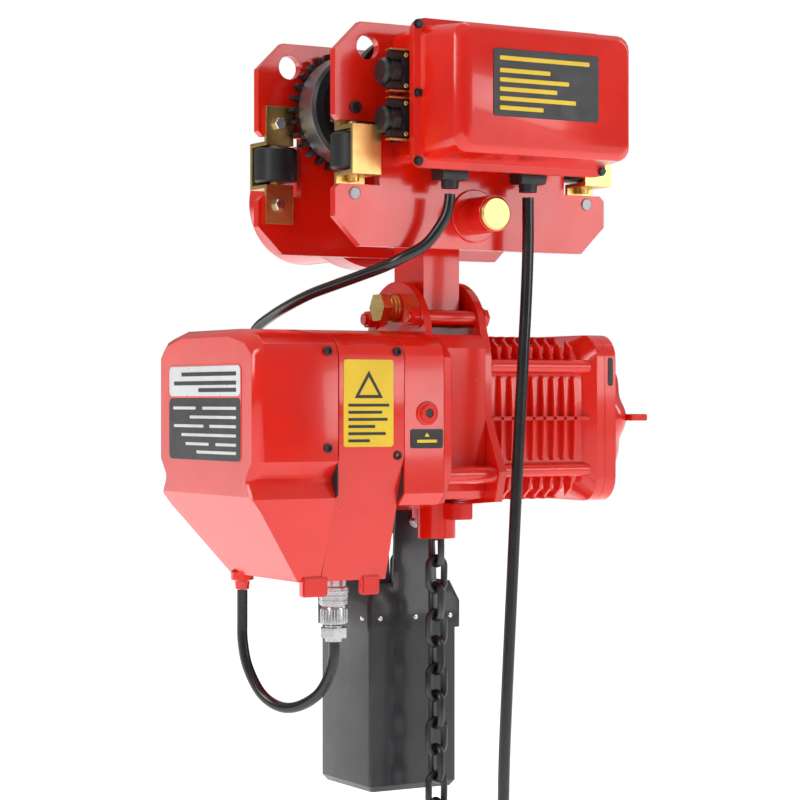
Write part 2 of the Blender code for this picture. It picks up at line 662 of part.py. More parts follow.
def add_left_cover():
    """The end cover: hollow, with its lower edge sliced off at a slant."""
    slant_at, slant = (COVER_END, 0, -339.0), (-86.0, 0, -66.0)
    shell = loft("X", [cover_section(COVER_SEAM - GAP, 0), cover_section(COVER_END + 11, 0),
                       cover_section(COVER_END + 3, -4), cover_section(COVER_END, -7.5)])
    made = add_object("left_cover", sliced(shell, slant_at, slant), "red_paint")
    low = CASE_BOTTOM - 16
    spigot = [(0, low), (7, low), (8, low + 8), (12, low + 10), (12, low + 18), (0, low + 18)]
    join(made, turned("Z", -178, 80, spigot, 12))
    hollow = loft("X", [cover_section(COVER_SEAM + 4, -5), cover_section(COVER_END + 14, -5),
                        cover_section(COVER_END + 6, -11)])
    cut(made, sliced(hollow, (COVER_END + 6, 0, -339.0), slant))


def square(half, radius):
    """A square with round corners about the hoist's axis."""
    return rounded(HOIST_Y - half, HOIST_Z - half, HOIST_Y + half, HOIST_Z + half, radius, 3)


def add_motor():
    """The hoist motor: a finned housing, an end cover with the brake in it, and the rotor."""
    start, end = FLANGE_RIGHT[1] + GAP, MOTOR_END
    housing = loft("X", [(start, square(86, 28)), (162, square(86, 28)), (164, square(88, 26)), (end, square(88, 26))])
    made = add_object("motor_housing", housing, "red_paint")
    cut(made, turned("X", HOIST_Y, HOIST_Z, [(0, 44), (74, 44), (74, 200), (0, 200)]),
        turned("X", HOIST_Y, HOIST_Z, [(0, 20), (9, 20), (9, 50), (0, 50)], 12))
    low = end + GAP
    cover = loft("X", [(low, square(88, 26)), (188, square(88, 26)), (190, square(84, 30)), (214, square(66, 52)),
                       (END_COVER_X, square(58, 52))])
    dome = add_object("motor_end_cover", cover, "red_paint")
    cut(dome, turned("X", HOIST_Y, HOIST_Z, [(0, 150), (70, 150), (70, 190), (50, 212), (0, 214)]))
    join(dome, block((215, -62, -267), (236, -38, -260), 0.8))
    add_rotor()


def add_rotor():
    """The rotor, its shaft through the hollow sheave, the drive pinion and the brake disc."""
    profile = [(0, -78), (6, -78), (6, 46), (7, 46), (7, 60), (58, 60), (58, 150), (8, 150), (8, 176), (52, 176),
               (52, 184), (8, 184), (8, 205), (0, 205)]
    made = add_object("motor_rotor", turned("X", HOIST_Y, HOIST_Z, profile, 14), "bright_steel",
                      (100, HOIST_Y, HOIST_Z))
    join(made, prism([toothed(HOIST_Y, HOIST_Z, 9, STAGE_MODULE)], "X", -76, -64))


def add_sheave_and_gears():
    """The load sheave with its output gear, and the gear stage between it and the rotor's pinion."""
    bore = 8.0
    groove, edge = SHEAVE_R - CHAIN_WIDE / 2 - 1, SHEAVE_R + 12
    profile = [(bore, -58), (14, -58), (14, -20), (edge, -20), (edge, -16.5), (groove, -16.5), (groove, 10.5),
               (edge, 10.5), (edge, 14), (18, 14), (18, 30), (bore, 30)]
    made = add_object("load_sheave", turned("X", HOIST_Y, HOIST_Z, profile, 14), "dark_iron",
                      (CHAIN_X, HOIST_Y, HOIST_Z))
    join(made, prism([toothed(HOIST_Y, HOIST_Z, 24, STAGE_MODULE), circle(HOIST_Y, HOIST_Z, 12, 8)], "X", -57, -47))
    stage_y = HOIST_Y + STAGE_MODULE * 17
    big = toothed(stage_y, HOIST_Z, 25, STAGE_MODULE)
    small = toothed(stage_y, HOIST_Z, 10, STAGE_MODULE, 0.5)
    stage = add_object("gear_stage", prism([big], "X", -74, -66), "bright_steel", (-60, stage_y, HOIST_Z))
    join(stage, prism([small], "X", -67, -46),
         turned("X", stage_y, HOIST_Z, [(0, -78), (6, -78), (6, -43), (0, -43)], 10))


# ---- chain, bucket and hook ---------------------------------------------------------------------------
def chain_outline(y):
    """The space that a chain's crossed links take: a plus-shaped section."""
    w, t = CHAIN_WIDE / 2, CHAIN_WIRE / 2
    corner = [(w, -t), (w, t), (t, t), (t, w), (-t, w), (-t, t), (-w, t), (-w, -t), (-t, -t), (-t, -w), (t, -w),
              (t, -t)]
    return [(CHAIN_X + u, y + v) for u, v in corner]


def add_chains():
    """The load strand down to the hook and the slack strand down into the bucket."""
    add_object("load_chain", prism([chain_outline(LOAD_Y)], "Z", CHAIN_END, HOIST_Z), "black_steel")
    add_object("slack_chain", prism([chain_outline(SLACK_Y)], "Z", -560, HOIST_Z), "black_steel")


def bucket_row(grow, z):
    """One outline of the chain bucket, grown beyond its outside."""
    return z, rounded(-58.0 - grow, 22.5 - grow, 47.0 + grow, 131.0 + grow, 4.0, 2)


def add_bucket():
    """The chain bucket and the collar that hangs it under the hoist."""
    row = bucket_row
    tray = [row(-4, -655), row(0, -649), row(0, -470), row(-2.5, -470), row(-2.5, -646)]
    add_object("chain_bucket", loft("Z", tray), "bucket_black")
    inside, outside = 1.0, 3.5
    ring = [row(inside, -486), row(outside, -486), row(outside, -458), row(-4, -437), row(-6.5, -437),
            row(inside, -459)]
    collar = add_object("bucket_hanger", loft("Z", ring, ring=True), "bucket_black")
    for y in (24.0, 124.0):
        arm = prism([[(-30, -445), (24, -445), (20, -358), (-26, -358)]], "Y", y, y + 3.5)
        join(collar, arm)
    foot = [(127.5, -362), (127.5, -334), (104.3, -334), (104.3, -337.5), (124, -337.5), (124, -362)]
    join(collar, prism([foot], "X", -20, 14))


def add_hook():
    """The hook block on the chain's end, the swivelling hook and its latch."""
    z = CHAIN_END
    profile = [(0, z - GAP), (17, z - GAP), (24, z - 12), (24, z - 36), (15, z - 46), (0, z - 46)]
    add_object("hook_block", turned("Z", CHAIN_X, LOAD_Y, profile, 16), "black_steel")
    top = z - 46 - GAP
    centre = top - 52.0
    points, radii = [(CHAIN_X, LOAD_Y, top), (CHAIN_X, LOAD_Y, top - 10), (CHAIN_X, LOAD_Y, top - 18)], [9, 9, 9]
    for i in range(12):
        share = i / 11
        angle = math.radians(72 - 250 * share)
        points.append((CHAIN_X + 26 * math.cos(angle), LOAD_Y, centre + 26 * math.sin(angle)))
        radii.append(9 + 4 * math.sin(math.pi * min(1, share * 1.1)) - 3 * share)
    points.append((points[-1][0] - 3, LOAD_Y, points[-1][2] + 12))
    radii.append(4.0)
    add_object("load_hook", swept(points, radii, 10), "bright_steel", (CHAIN_X, LOAD_Y, top))
    add_latch(centre)


def add_latch(centre):
    """The sprung tongue that closes the hook's mouth."""
    x, z = CHAIN_X - 12.0, centre + 28.0
    tip = (CHAIN_X - 18.5, centre + 2.0)
    side = [(x - 2, z), (x + 2, z + 1), (tip[0] + 4, tip[1]), (tip[0] + 1, tip[1])]
    add_object("hook_latch", prism([side], "Y", LOAD_Y - 6, LOAD_Y + 6), "bright_steel", (x, LOAD_Y, z))


# ---- cords and pendant ---------------------------------------------------------------------------------
def add_connector():
    """The metal plug connector under the electrical case."""
    x, y, top = -124.0, -20.0, CASE_BOTTOM - GAP
    profile = [(0, top), (13, top), (13, top - 8), (15, top - 9), (15, top - 26), (12.5, top - 28), (13.5, top - 30),
               (13.5, top - 46), (9, top - 48), (9, top - 64), (0, top - 64)]
    add_object("cable_connector", turned("Z", x, y, profile, 14), "bright_steel")


def add_cords():
    """The power cord, the loop under the case, and the pendant's cord with its coil and tail."""
    cord("cable_power", POWER_ROUTE, POWER_CORD)
    cord("cable_loop", LOOP_ROUTE, LOOP_CORD)
    cord("cable_pendant", PENDANT_ROUTE, PENDANT_CORD)
    cord("cable_tail", TAIL_ROUTE, PENDANT_CORD)
    x, y, z = COIL_CENTRE
    outer, inner = COIL_R + PENDANT_CORD / 2, COIL_R - PENDANT_CORD / 2
    low, high = TAIL_Y - PENDANT_CORD / 2, y + PENDANT_CORD / 2
    ring = [(inner, low), (outer, low), (outer, high), (inner, high)]
    add_object("cable_coil", turned("Y", x, z, ring, 28), "cable_black")


def pendant_row(grow, z):
    """One outline of the hand control, grown beyond its outside."""
    x, y = PENDANT_X, TAIL_Y
    return z, rounded(x - 27 - grow, y - 22 - grow, x + 27 + grow, y + 22 + grow, 10, 2)


def add_pendant():
    """The hand control on the pendant cord: a case with four push buttons and an emergency stop."""
    x, y, top = PENDANT_X, TAIL_Y, PENDANT_TOP
    low = top - PENDANT_TALL
    rows = [pendant_row(-4, low), pendant_row(0, low + 4), pendant_row(0, top - 6), pendant_row(-8, top)]
    case = add_object("pendant_case", loft("Z", rows), "pendant_yellow")
    boot = [(0, top - 2), (13, top - 2), (9, top + 14), (8, top + 25.7), (0, top + 25.7)]
    join(case, turned("Z", x, y, boot, 12))
    face = y - 22.0
    buttons = [("stop", 0.0, -32.0, 8.0), ("up", -12.0, -78.0, 8.5), ("down", 12.0, -78.0, 8.5),
               ("left", -12.0, -112.0, 8.5), ("right", 12.0, -112.0, 8.5)]
    for name, dx, dz, radius in buttons:
        u, v = x + dx, top + dz
        cut(case, turned("Y", u, v, [(0, face - 5), (radius + 0.5, face - 5), (radius + 0.5, face + 14),
                                     (0, face + 14)], 12))
        profile = [(0, face - 4), (radius, face - 4), (radius, face + 8), (0, face + 8)]
        if name == "stop":
            profile = [(0, face - 16), (13, face - 15), (15, face - 11), (15, face - 6), (radius, face - 6),
                       (radius, face + 8), (0, face + 8)]
        finish = "button_red" if name == "stop" else "black_plastic"
        add_object(f"button_{name}", turned("Y", u, v, profile, 12), finish, (u, face, v))


def clear_scene():
    for old in list(bpy.data.objects):
        bpy.data.objects.remove(old)


def build():
    clear_scene()
    z_out = WHEEL_Z - pinion_drop()
    add_side_plate("front_plate", -1)
    add_side_plate("rear_plate", 1, [circle(0, z_out, 10, 16)])
    add_load_shaft()
    add_wheels()
    add_drive_pinion()
    add_trolley_drive()
    add_guide_rollers()
    add_control_box()
    add_glands()
    add_hanger()
    add_flanges()
    add_suspension()
    add_mid_frame()
    add_chain_guide()
    add_gear_cases()
    add_left_cover()
    add_motor()
    add_sheave_and_gears()
    add_chains()
    add_bucket()
    add_hook()
    add_connector()
    add_cords()
    add_pendant()


build()
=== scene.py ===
"""Looks of the electric chain hoist on a motor trolley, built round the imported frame."""
import json
import math

import bmesh
import bpy
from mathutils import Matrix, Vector
from mathutils.geometry import delaunay_2d_cdt


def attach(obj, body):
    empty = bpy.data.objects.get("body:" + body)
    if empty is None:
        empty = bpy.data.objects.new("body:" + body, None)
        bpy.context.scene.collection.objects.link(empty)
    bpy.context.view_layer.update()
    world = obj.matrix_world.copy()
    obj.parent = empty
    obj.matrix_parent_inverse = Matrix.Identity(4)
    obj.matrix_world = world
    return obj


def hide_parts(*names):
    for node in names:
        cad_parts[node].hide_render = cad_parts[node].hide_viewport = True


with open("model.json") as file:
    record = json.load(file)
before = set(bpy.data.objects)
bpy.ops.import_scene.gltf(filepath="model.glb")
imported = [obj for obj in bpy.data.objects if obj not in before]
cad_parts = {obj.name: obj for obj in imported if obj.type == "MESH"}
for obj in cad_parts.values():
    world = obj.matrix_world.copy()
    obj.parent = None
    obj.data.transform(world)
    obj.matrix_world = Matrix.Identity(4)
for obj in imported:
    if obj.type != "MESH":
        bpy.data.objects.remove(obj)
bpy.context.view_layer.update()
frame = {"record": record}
BODY_OF = {node: body for body, nodes in frame["record"]["behaviour"]["bodies"].items() for node in nodes}
FINE = 3  # times the sides that a plain round part has

MM = 0.001
GAP = 0.3  # air between neighbouring pieces

# ---- driving dimensions ------------------------------------------------------------------------
# trolley
PLATE_HALF = 160.0
PLATE_TOP = 128.7
PLATE_BOTTOM = -92.7
PLATE_IN = 79.0  # inner face, from the middle of the trolley
PLATE_THICK = 10.0
PLATE_OUT = PLATE_IN + PLATE_THICK
PLATE_CHAMFER = 28.5
NOTCH_DEEP = 50.0
NOTCH_LOW, NOTCH_HIGH = -32.0, 30.6
LIFT_HOLE_X, LIFT_HOLE_Z, LIFT_HOLE_R = 123.4, 104.0, 12.5
WHEEL_X, WHEEL_Z = 65.5, 58.0
TREAD_R = WHEEL_Z
AXLE_R = 11.0
WHEEL_TEETH, GEAR_MODULE = 30, 4.0
PINION_TEETH = 8
SHAFT_Z, SHAFT_R = -58.5, 17.0
ROLLER_X, ROLLER_Y, ROLLER_R = 137.0, 84.0, 22.5
STRIP_HALF, STRIP_THICK, STRIP_OUT = 16.0, 4.0, 112.0
BOX_X, BOX_Z = 9.5, 54.5  # middle of the control box
BOX_BACK_Y, BOX_RIM_Y, BOX_FRONT_Y = -PLATE_OUT - GAP, -140.0, -210.0
TROLLEY_GEAR, TROLLEY_PINION = 28, 13  # teeth of module 2, between the motor and the drive pinion
# hanger and hoist
HANGER_X = -3.0
PIN_Z = -149.4
HOIST_Y, HOIST_Z = 17.0, -264.0  # axis of motor, sheave and gears
BODY_HALF = 114.0
COVER_END, COVER_SEAM, CASE_SEAM = -251.0, -160.0, -86.0
EAR_R, EAR_Z = 60.0, -182.0  # the round ears that hang on the suspension bolt
FLANGE_LEFT, FLANGE_RIGHT = (-40.0, -31.5), (26.0, 34.5)
MOTOR_END, END_COVER_X = 174.0, 222.0
CASE_BOTTOM = -425.0
STAGE_MODULE = 3.0  # gears in the hoist: 9 and 25 teeth, then 10 and 24, both pairs 51 apart
# chain
CHAIN_X, LOAD_Y, SLACK_Y = -3.0, -20.0, 54.0
CHAIN_WIRE, CHAIN_WIDE = 7.1, 26.0
CHAIN_END = -690.0
SHEAVE_R = (SLACK_Y - LOAD_Y) / 2
# cords: diameter, then the listed points of each route
POWER_CORD, LOOP_CORD, PENDANT_CORD = 11.0, 11.0, 12.0
POWER_ROUTE = [
    (-46, -118, -40.5), (-47, -118, -50), (-51, -116, -65), (-68, -109, -90), (-90, -98, -104),
    (-101, -84, -112), (-113, -50, -121), (-120, -15, -128), (-127, 25, -136), (-131, 65, -146),
    (-131, 105, -156), (-131, 140, -168), (-131, 166, -190), (-131, 173, -215), (-131, 168, -236),
    (-131, 158, -247),
]
LOOP_ROUTE = [
    (-124, -20, -490), (-124, -20, -505), (-127, -16, -524), (-134, -5, -544), (-145, 17, -558),
    (-156, 38, -560), (-167, 58, -548), (-175, 73, -522), (-178, 79, -495), (-178, 80, -470),
    (-178, 80, -442),
]
PENDANT_ROUTE = [
    (46.5, -118, -40), (46.5, -118, -90), (44, -118, -150), (39, -118, -230), (33.5, -118, -320),
    (28, -118, -420), (22.5, -118, -520), (18.5, -118, -600), (17, -118, -655), (16.6, -118, -694),
]
COIL_R, COIL_TURNS = 66.0, 3
COIL_CENTRE = (16.6 - COIL_R, -118.0, -735.0)
COIL_PITCH = 12.5
TAIL_Y = COIL_CENTRE[1] - COIL_TURNS * COIL_PITCH
TAIL_ROUTE = [(16.6, TAIL_Y, -776), (16.6, TAIL_Y, -787), (16.6, TAIL_Y, -798)]
PENDANT_X, PENDANT_TOP, PENDANT_TALL = 16.6, -824.0, 148.0
# camera, in metres and degrees, and the floor
CAMERA_AT, CAMERA_TURN = (-1.2667, -2.1332, -0.2449), -30
CAMERA_LENS, CAMERA_SENSOR = 106.65, 36
FLOOR_Z, FLOOR_HALF = -1100, 14000
COIL_POINTS = 28  # centreline points to a turn
LINK_PITCH, LINK_POINTS, WIRE_POINTS = 28, 24, 12


# ---- outlines and solids ----
def ring(u, v, radius, steps):
    """A round outline about (u, v)."""
    turn = 2 * math.pi / steps
    return [(u + radius * math.cos(i * turn), v + radius * math.sin(i * turn)) for i in range(steps)]


def circle(u, v, radius, steps=20):
    """A round outline with the finer steps of the looks; up to six steps stay as they are."""
    return ring(u, v, radius, steps if steps <= 6 else steps * FINE)


def rounded(u0, v0, u1, v1, radius, steps=3):
    """A rectangle with round corners, steps + 1 points to a corner."""
    steps *= 2
    corners = [
        (u1 - radius, v1 - radius, 0),
        (u0 + radius, v1 - radius, 90),
        (u0 + radius, v0 + radius, 180),
        (u1 - radius, v0 + radius, 270),
    ]
    points = []
    for u, v, start in corners:
        for i in range(steps + 1):
            angle = math.radians(start + 90 * i / steps)
            points.append((u + radius * math.cos(angle), v + radius * math.sin(angle)))
    return points


def toothed(u, v, teeth, module, phase=0.0):
    """A spur gear's outline: flat-topped teeth, phase in teeth."""
    tip, root = module * (teeth / 2 + 1), module * (teeth / 2 - 1.25)
    points = []
    for i in range(teeth):
        for step, radius in ((-0.27, root), (-0.13, tip), (0.13, tip), (0.27, root)):
            angle = 2 * math.pi * (i + phase + step) / teeth
            points.append((u + radius * math.cos(angle), v + radius * math.sin(angle)))
    return points


def mirrored(points, middle):
    """An open outline followed by its mirror image about u = middle."""
    return points + [(2 * middle - u, v) for u, v in reversed(points)]


def place(axis, u, v, height):
    """Plane coordinates and a height along an axis as a point."""
    return {"X": (height, u, v), "Y": (u, height, v), "Z": (u, v, height)}[axis]


def finish_mesh(bm):
    bmesh.ops.recalc_face_normals(bm, faces=bm.faces)
    return bm


def inside(u, v, outline):
    """Whether a point lies inside an outline, by counting the edges to its right."""
    crossings = 0
    for (a, b), (c, d) in zip(outline, outline[1:] + outline[:1]):
        if (b > v) != (d > v) and u < a + (v - b) * (c - a) / (d - b):
            crossings += 1
    return crossings % 2 == 1


def triangles(outlines):
    """The face between an outline and its holes, as triples of indices into all their points."""
    points = [Vector(p) for outline in outlines for p in outline]
    edges, start = [], 0
    for outline in outlines:
        count = len(outline)
        edges += [(start + i, start + (i + 1) % count) for i in range(count)]
        start += count
    _, _, faces, origins, _, _ = delaunay_2d_cdt(points, edges, [], 1, 1e-5)
    found = []
    for face in faces:
        tri = [origins[i][0] for i in face]
        u, v = sum((points[i] for i in tri), Vector((0, 0))) / 3
        if inside(u, v, outlines[0]) and not any(inside(u, v, hole) for hole in outlines[1:]):
            found.append(tri)
    return found


def prism(outlines, axis, low, high):
    """A flat plate: the first outline is its edge and the others are holes."""
    bm = bmesh.new()
    flat = [Vector((u, v, 0)) for outline in outlines for u, v in outline]
    ends = [[bm.verts.new(place(axis, p.x, p.y, h)) for p in flat] for h in (low, high)]
    for tri in triangles(outlines):
        for verts in ends:
            bm.faces.new([verts[i] for i in tri])
    start = 0
    for outline in outlines:
        count = len(outline)
        for i in range(count):
            a, b = start + i, start + (i + 1) % count
            bm.faces.new((ends[0][a], ends[0][b], ends[1][b], ends[1][a]))
        start += count
    return finish_mesh(bm)


def loft(axis, rows, ring=False):
    """A skin over rows of (height, outline), closed at both ends or into a ring."""
    bm = bmesh.new()
    rows = [[bm.verts.new(place(axis, u, v, h)) for u, v in outline] for h, outline in rows]
    pairs = list(zip(rows, rows[1:]))
    if ring:
        pairs.append((rows[-1], rows[0]))
    for low, high in pairs:
        for i in range(len(low)):
            j = (i + 1) % len(low)
            bm.faces.new((low[i], low[j], high[j], high[i]))
    if not ring:
        bm.faces.new(rows[0])
        bm.faces.new(rows[-1])
    return finish_mesh(bm)


def turned(axis, u, v, profile, steps=20):
    """A body of revolution from a closed profile of (radius, height); radius 0 lies on the axis."""
    steps *= FINE
    bm = bmesh.new()
    rows = []
    for radius, height in profile:
        outline = ring(u, v, radius, steps) if radius else [(u, v)]
        rows.append([bm.verts.new(place(axis, a, b, height)) for a, b in outline])
    for low, high in zip(rows, rows[1:] + rows[:1]):
        for i in range(steps):
            quad = [low[i % len(low)], low[(i + 1) % len(low)], high[(i + 1) % len(high)],
                    high[i % len(high)]]
            corners = list(dict.fromkeys(quad))
            if len(corners) > 2:
                bm.faces.new(corners)
    return finish_mesh(bm)


def tube(axis, u, v, radii, span, steps=20):
    """A plain round tube, or a rod where the inner radius is 0."""
    (inner, outer), (low, high) = radii, span
    return turned(axis, u, v, [(inner, low), (outer, low), (outer, high), (inner, high)], steps)


def slab(axis, low, high, *corners):
    """A flat plate with the outline that rounded() gives for these corners and radius."""
    return prism([rounded(*corners)], axis, low, high)


def block(low, high, bevel=0.0):
    """A box between two corners, with its edges rounded off by a small flat."""
    bm = loft("Z", [(h, [(low[0], low[1]), (high[0], low[1]), (high[0], high[1]), (low[0], high[1])])
                    for h in (low[2], high[2])])
    if bevel:
        bmesh.ops.bevel(bm, geom=bm.edges[:], offset=bevel, segments=2, affect="EDGES")
    return bm


def swept(points, radii, steps=10):
    """A round bar along points that lie in one XZ plane, with a radius at each."""
    steps *= 2
    bm = bmesh.new()
    rows = []
    for i, (point, radius) in enumerate(zip(points, radii)):
        ahead, behind = points[min(i + 1, len(points) - 1)], points[max(i - 1, 0)]
        along = (Vector(ahead) - Vector(behind)).normalized()
        side = Vector((along.z, 0, -along.x))
        row = []
        for j in range(steps):
            angle = 2 * math.pi * j / steps
            offset = side * math.cos(angle) * radius + Vector((0, 1, 0)) * math.sin(angle) * radius
            row.append(bm.verts.new(Vector(point) + offset))
        rows.append(row)
    for low, high in zip(rows, rows[1:]):
        for i in range(steps):
            j = (i + 1) % steps
            bm.faces.new((low[i], low[j], high[j], high[i]))
    bm.faces.new(rows[0])
    bm.faces.new(rows[-1])
    return finish_mesh(bm)


def sliced(bm, point, normal):
    """The part of a solid behind a plane, closed again on the plane."""
    bmesh.ops.bisect_plane(bm, geom=bm.verts[:] + bm.edges[:] + bm.faces[:], plane_co=point,
                           plane_no=normal, clear_outer=True)
    bmesh.ops.holes_fill(bm, edges=[e for e in bm.edges if e.is_boundary])
    return finish_mesh(bm)


# ---- finishes ----
def value(tree, kind, **inputs):
    """A new node with some of its sockets set."""
    made = tree.nodes.new(kind)
    for name, setting in inputs.items():
        made.inputs[name.replace("_", " ")].default_value = setting
    return made


def finish_material(name, colour, dark, rough, metal=0.0, coat=0.0, grain=(30, 30, 30), bump=0.15,
                    edge=0.0007):
    """A procedural finish: blotchy colour, uneven gloss, fine relief and softened edges."""
    found = bpy.data.materials.get("look_" + name)
    if found:
        return found
    made = bpy.data.materials.new("look_" + name)
    made.use_nodes = True
    tree = made.node_tree
    link = tree.links.new
    shader = tree.nodes["Principled BSDF"]
    shader.inputs["Metallic"].default_value = metal
    shader.inputs["Coat Weight"].default_value = coat
    shader.inputs["Coat Roughness"].default_value = 0.08
    where = tree.nodes.new("ShaderNodeTexCoord")
    stretch = value(tree, "ShaderNodeMapping", Scale=grain)
    link(where.outputs["Object"], stretch.inputs["Vector"])
    blotches = value(tree, "ShaderNodeTexNoise", Scale=0.6, Detail=5.0, Roughness=0.6)
    link(stretch.outputs["Vector"], blotches.inputs["Vector"])
    ramp = tree.nodes.new("ShaderNodeValToRGB")
    ramp.color_ramp.elements[0].position = 0.32
    ramp.color_ramp.elements[0].color = (*dark, 1)
    ramp.color_ramp.elements[1].position = 0.62
    ramp.color_ramp.elements[1].color = (*colour, 1)
    link(blotches.outputs["Fac"], ramp.inputs["Fac"])
    link(ramp.outputs["Color"], shader.inputs["Base Color"])
    patches = value(tree, "ShaderNodeTexNoise", Scale=2.2, Detail=3.0)
    link(stretch.outputs["Vector"], patches.inputs["Vector"])
    gloss = value(tree, "ShaderNodeMapRange", To_Min=max(0.05, rough - 0.09), To_Max=rough + 0.11)
    link(patches.outputs["Fac"], gloss.inputs["Value"])
    link(gloss.outputs["Result"], shader.inputs["Roughness"])
    relief = value(tree, "ShaderNodeTexNoise", Scale=28.0, Detail=2.0)
    link(stretch.outputs["Vector"], relief.inputs["Vector"])
    soften = value(tree, "ShaderNodeBevel", Radius=edge)
    soften.samples = 4
    lumps = value(tree, "ShaderNodeBump", Strength=bump, Distance=0.0006)
    link(relief.outputs["Fac"], lumps.inputs["Height"])
    link(soften.outputs["Normal"], lumps.inputs["Normal"])
    link(lumps.outputs["Normal"], shader.inputs["Normal"])
    return made


LOOKS = {
    "red_paint": dict(colour=(0.80, 0.013, 0.002), dark=(0.68, 0.008, 0.002), rough=0.22, coat=0.5,
                      grain=(14, 14, 14), bump=0.10, edge=0.0012),
    "zinc_gold": dict(colour=(0.86, 0.60, 0.22), dark=(0.62, 0.42, 0.16), rough=0.30, metal=1.0, bump=0.12),
    "black_plastic": dict(colour=(0.018, 0.018, 0.02), dark=(0.010, 0.010, 0.011), rough=0.38, bump=0.2),
    "black_steel": dict(colour=(0.09, 0.09, 0.095), dark=(0.035, 0.035, 0.04), rough=0.32, metal=0.9),
    "bright_steel": dict(colour=(0.70, 0.70, 0.72), dark=(0.50, 0.50, 0.52), rough=0.24, metal=1.0,
                         grain=(25, 25, 160), bump=0.10),
    "dark_iron": dict(colour=(0.040, 0.040, 0.042), dark=(0.018, 0.018, 0.02), rough=0.36, metal=0.5),
    "tread_steel": dict(colour=(0.34, 0.34, 0.35), dark=(0.24, 0.24, 0.25), rough=0.34, metal=0.9,
                        grain=(30, 8, 30)),
    "bucket_black": dict(colour=(0.030, 0.030, 0.034), dark=(0.017, 0.017, 0.02), rough=0.34, coat=0.2,
                         bump=0.12),
    "cable_black": dict(colour=(0.012, 0.012, 0.013), dark=(0.007, 0.007, 0.008), rough=0.25, coat=0.3,
                        bump=0.08),
    "pendant_yellow": dict(colour=(0.84, 0.50, 0.02), dark=(0.72, 0.41, 0.015), rough=0.40, bump=0.25),
    "button_red": dict(colour=(0.66, 0.015, 0.012), dark=(0.50, 0.010, 0.010), rough=0.34),
    # black for the print of labels and marks, and also painted shade in the oil plug's socket and the end
    # cover's slot
    "print_and_shade_black": dict(colour=(0.020, 0.020, 0.022), dark=(0.013, 0.013, 0.015), rough=0.36, bump=0.05),
    "label_yellow": dict(colour=(0.90, 0.62, 0.02), dark=(0.80, 0.52, 0.015), rough=0.40, bump=0.05),
    "label_white": dict(colour=(0.78, 0.78, 0.76), dark=(0.66, 0.66, 0.65), rough=0.40, bump=0.05),
    "label_silver": dict(colour=(0.80, 0.81, 0.82), dark=(0.68, 0.69, 0.70), rough=0.30, metal=0.25,
                         bump=0.05),
}
PIECES = {}


def material(finish):
    return finish_material(finish, **LOOKS[finish])


# ---- objects ----
def raw_object(name, bm, finish):
    """An object in metres, with its finish."""
    mesh = bpy.data.meshes.new(name)
    bmesh.ops.scale(bm, verts=bm.verts, vec=(MM, MM, MM))
    bm.to_mesh(mesh)
    bm.free()
    mesh.materials.append(material(finish))
    made = bpy.data.objects.new(name, mesh)
    bpy.context.scene.collection.objects.link(made)
    return made


def add_object(name, bm, finish):
    """The look of the CAD node of that name."""
    made = raw_object(name + "_look", bm, finish)
    PIECES[name] = (made, finish)
    return made


def extra(name, bm, finish, body):
    """A small piece that the CAD leaves out, carried by a body."""
    made = raw_object(name, bm, finish)
    smooth(made)
    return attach(made, body)


def smooth(made):
    """Smooth shading, with edges over 28 degrees kept sharp."""
    made.data.shade_smooth()
    made.data.set_sharp_from_angle(angle=math.radians(28))


def merged(solids):
    """Several solids as one mesh."""
    whole = bmesh.new()
    for bm in solids:
        part = bpy.data.meshes.new("part")
        bm.to_mesh(part)
        bm.free()
        whole.from_mesh(part)
        bpy.data.meshes.remove(part)
    return whole


def combine(target, bm, operation):
    """Join a solid to an object, or cut it away, and keep the result as the object's mesh."""
    tool = raw_object("tool", bm, "red_paint")
    bpy.context.view_layer.update()
    change = target.modifiers.new("change", "BOOLEAN")
    change.operation = operation
    change.solver = "EXACT"
    change.object = tool
    graph = bpy.context.evaluated_depsgraph_get()
    mesh = bpy.data.meshes.new_from_object(target.evaluated_get(graph))
    target.modifiers.clear()
    old, tool_mesh = target.data, tool.data
    finish = old.materials[0]
    target.data = mesh
    mesh.materials.clear()
    mesh.materials.append(finish)
    bpy.data.objects.remove(tool)
    bpy.data.meshes.remove(old)
    bpy.data.meshes.remove(tool_mesh)
    mesh.name = target.name
    return target


def join(target, *solids):
    """Join solids to an object, one after the other."""
    for bm in solids:
        combine(target, bm, "UNION")
    return target


def cut(target, *solids):
    """Cut solids from an object, one after the other."""
    for bm in solids:
        combine(target, bm, "DIFFERENCE")
    return target


def smooth_points(route, spacing):
    """Evenly spaced points on a smooth curve through a route."""
    knots = [Vector(p) for p in route]
    knots = [2 * knots[0] - knots[1]] + knots + [2 * knots[-1] - knots[-2]]
    fine = []
    for a, b, c, d in zip(knots, knots[1:], knots[2:], knots[3:]):
        for i in range(12):
            t = i / 12
            fine.append(0.5 * (2 * b + (c - a) * t + (2 * a - 5 * b + 4 * c - d) * t * t
                               + (3 * b - a - 3 * c + d) * t ** 3))
    fine.append(knots[-2])
    lengths = [(q - p).length for p, q in zip(fine, fine[1:])]
    count = max(2, round(sum(lengths) / spacing))
    step = sum(lengths) / count
    points, walked, target = [fine[0]], 0.0, step
    for p, q, length in zip(fine, fine[1:], lengths):
        while len(points) < count and walked + length >= target:
            points.append(p.lerp(q, (target - walked) / length))
            target += step
        walked += length
    points.append(fine[-1])
    return points


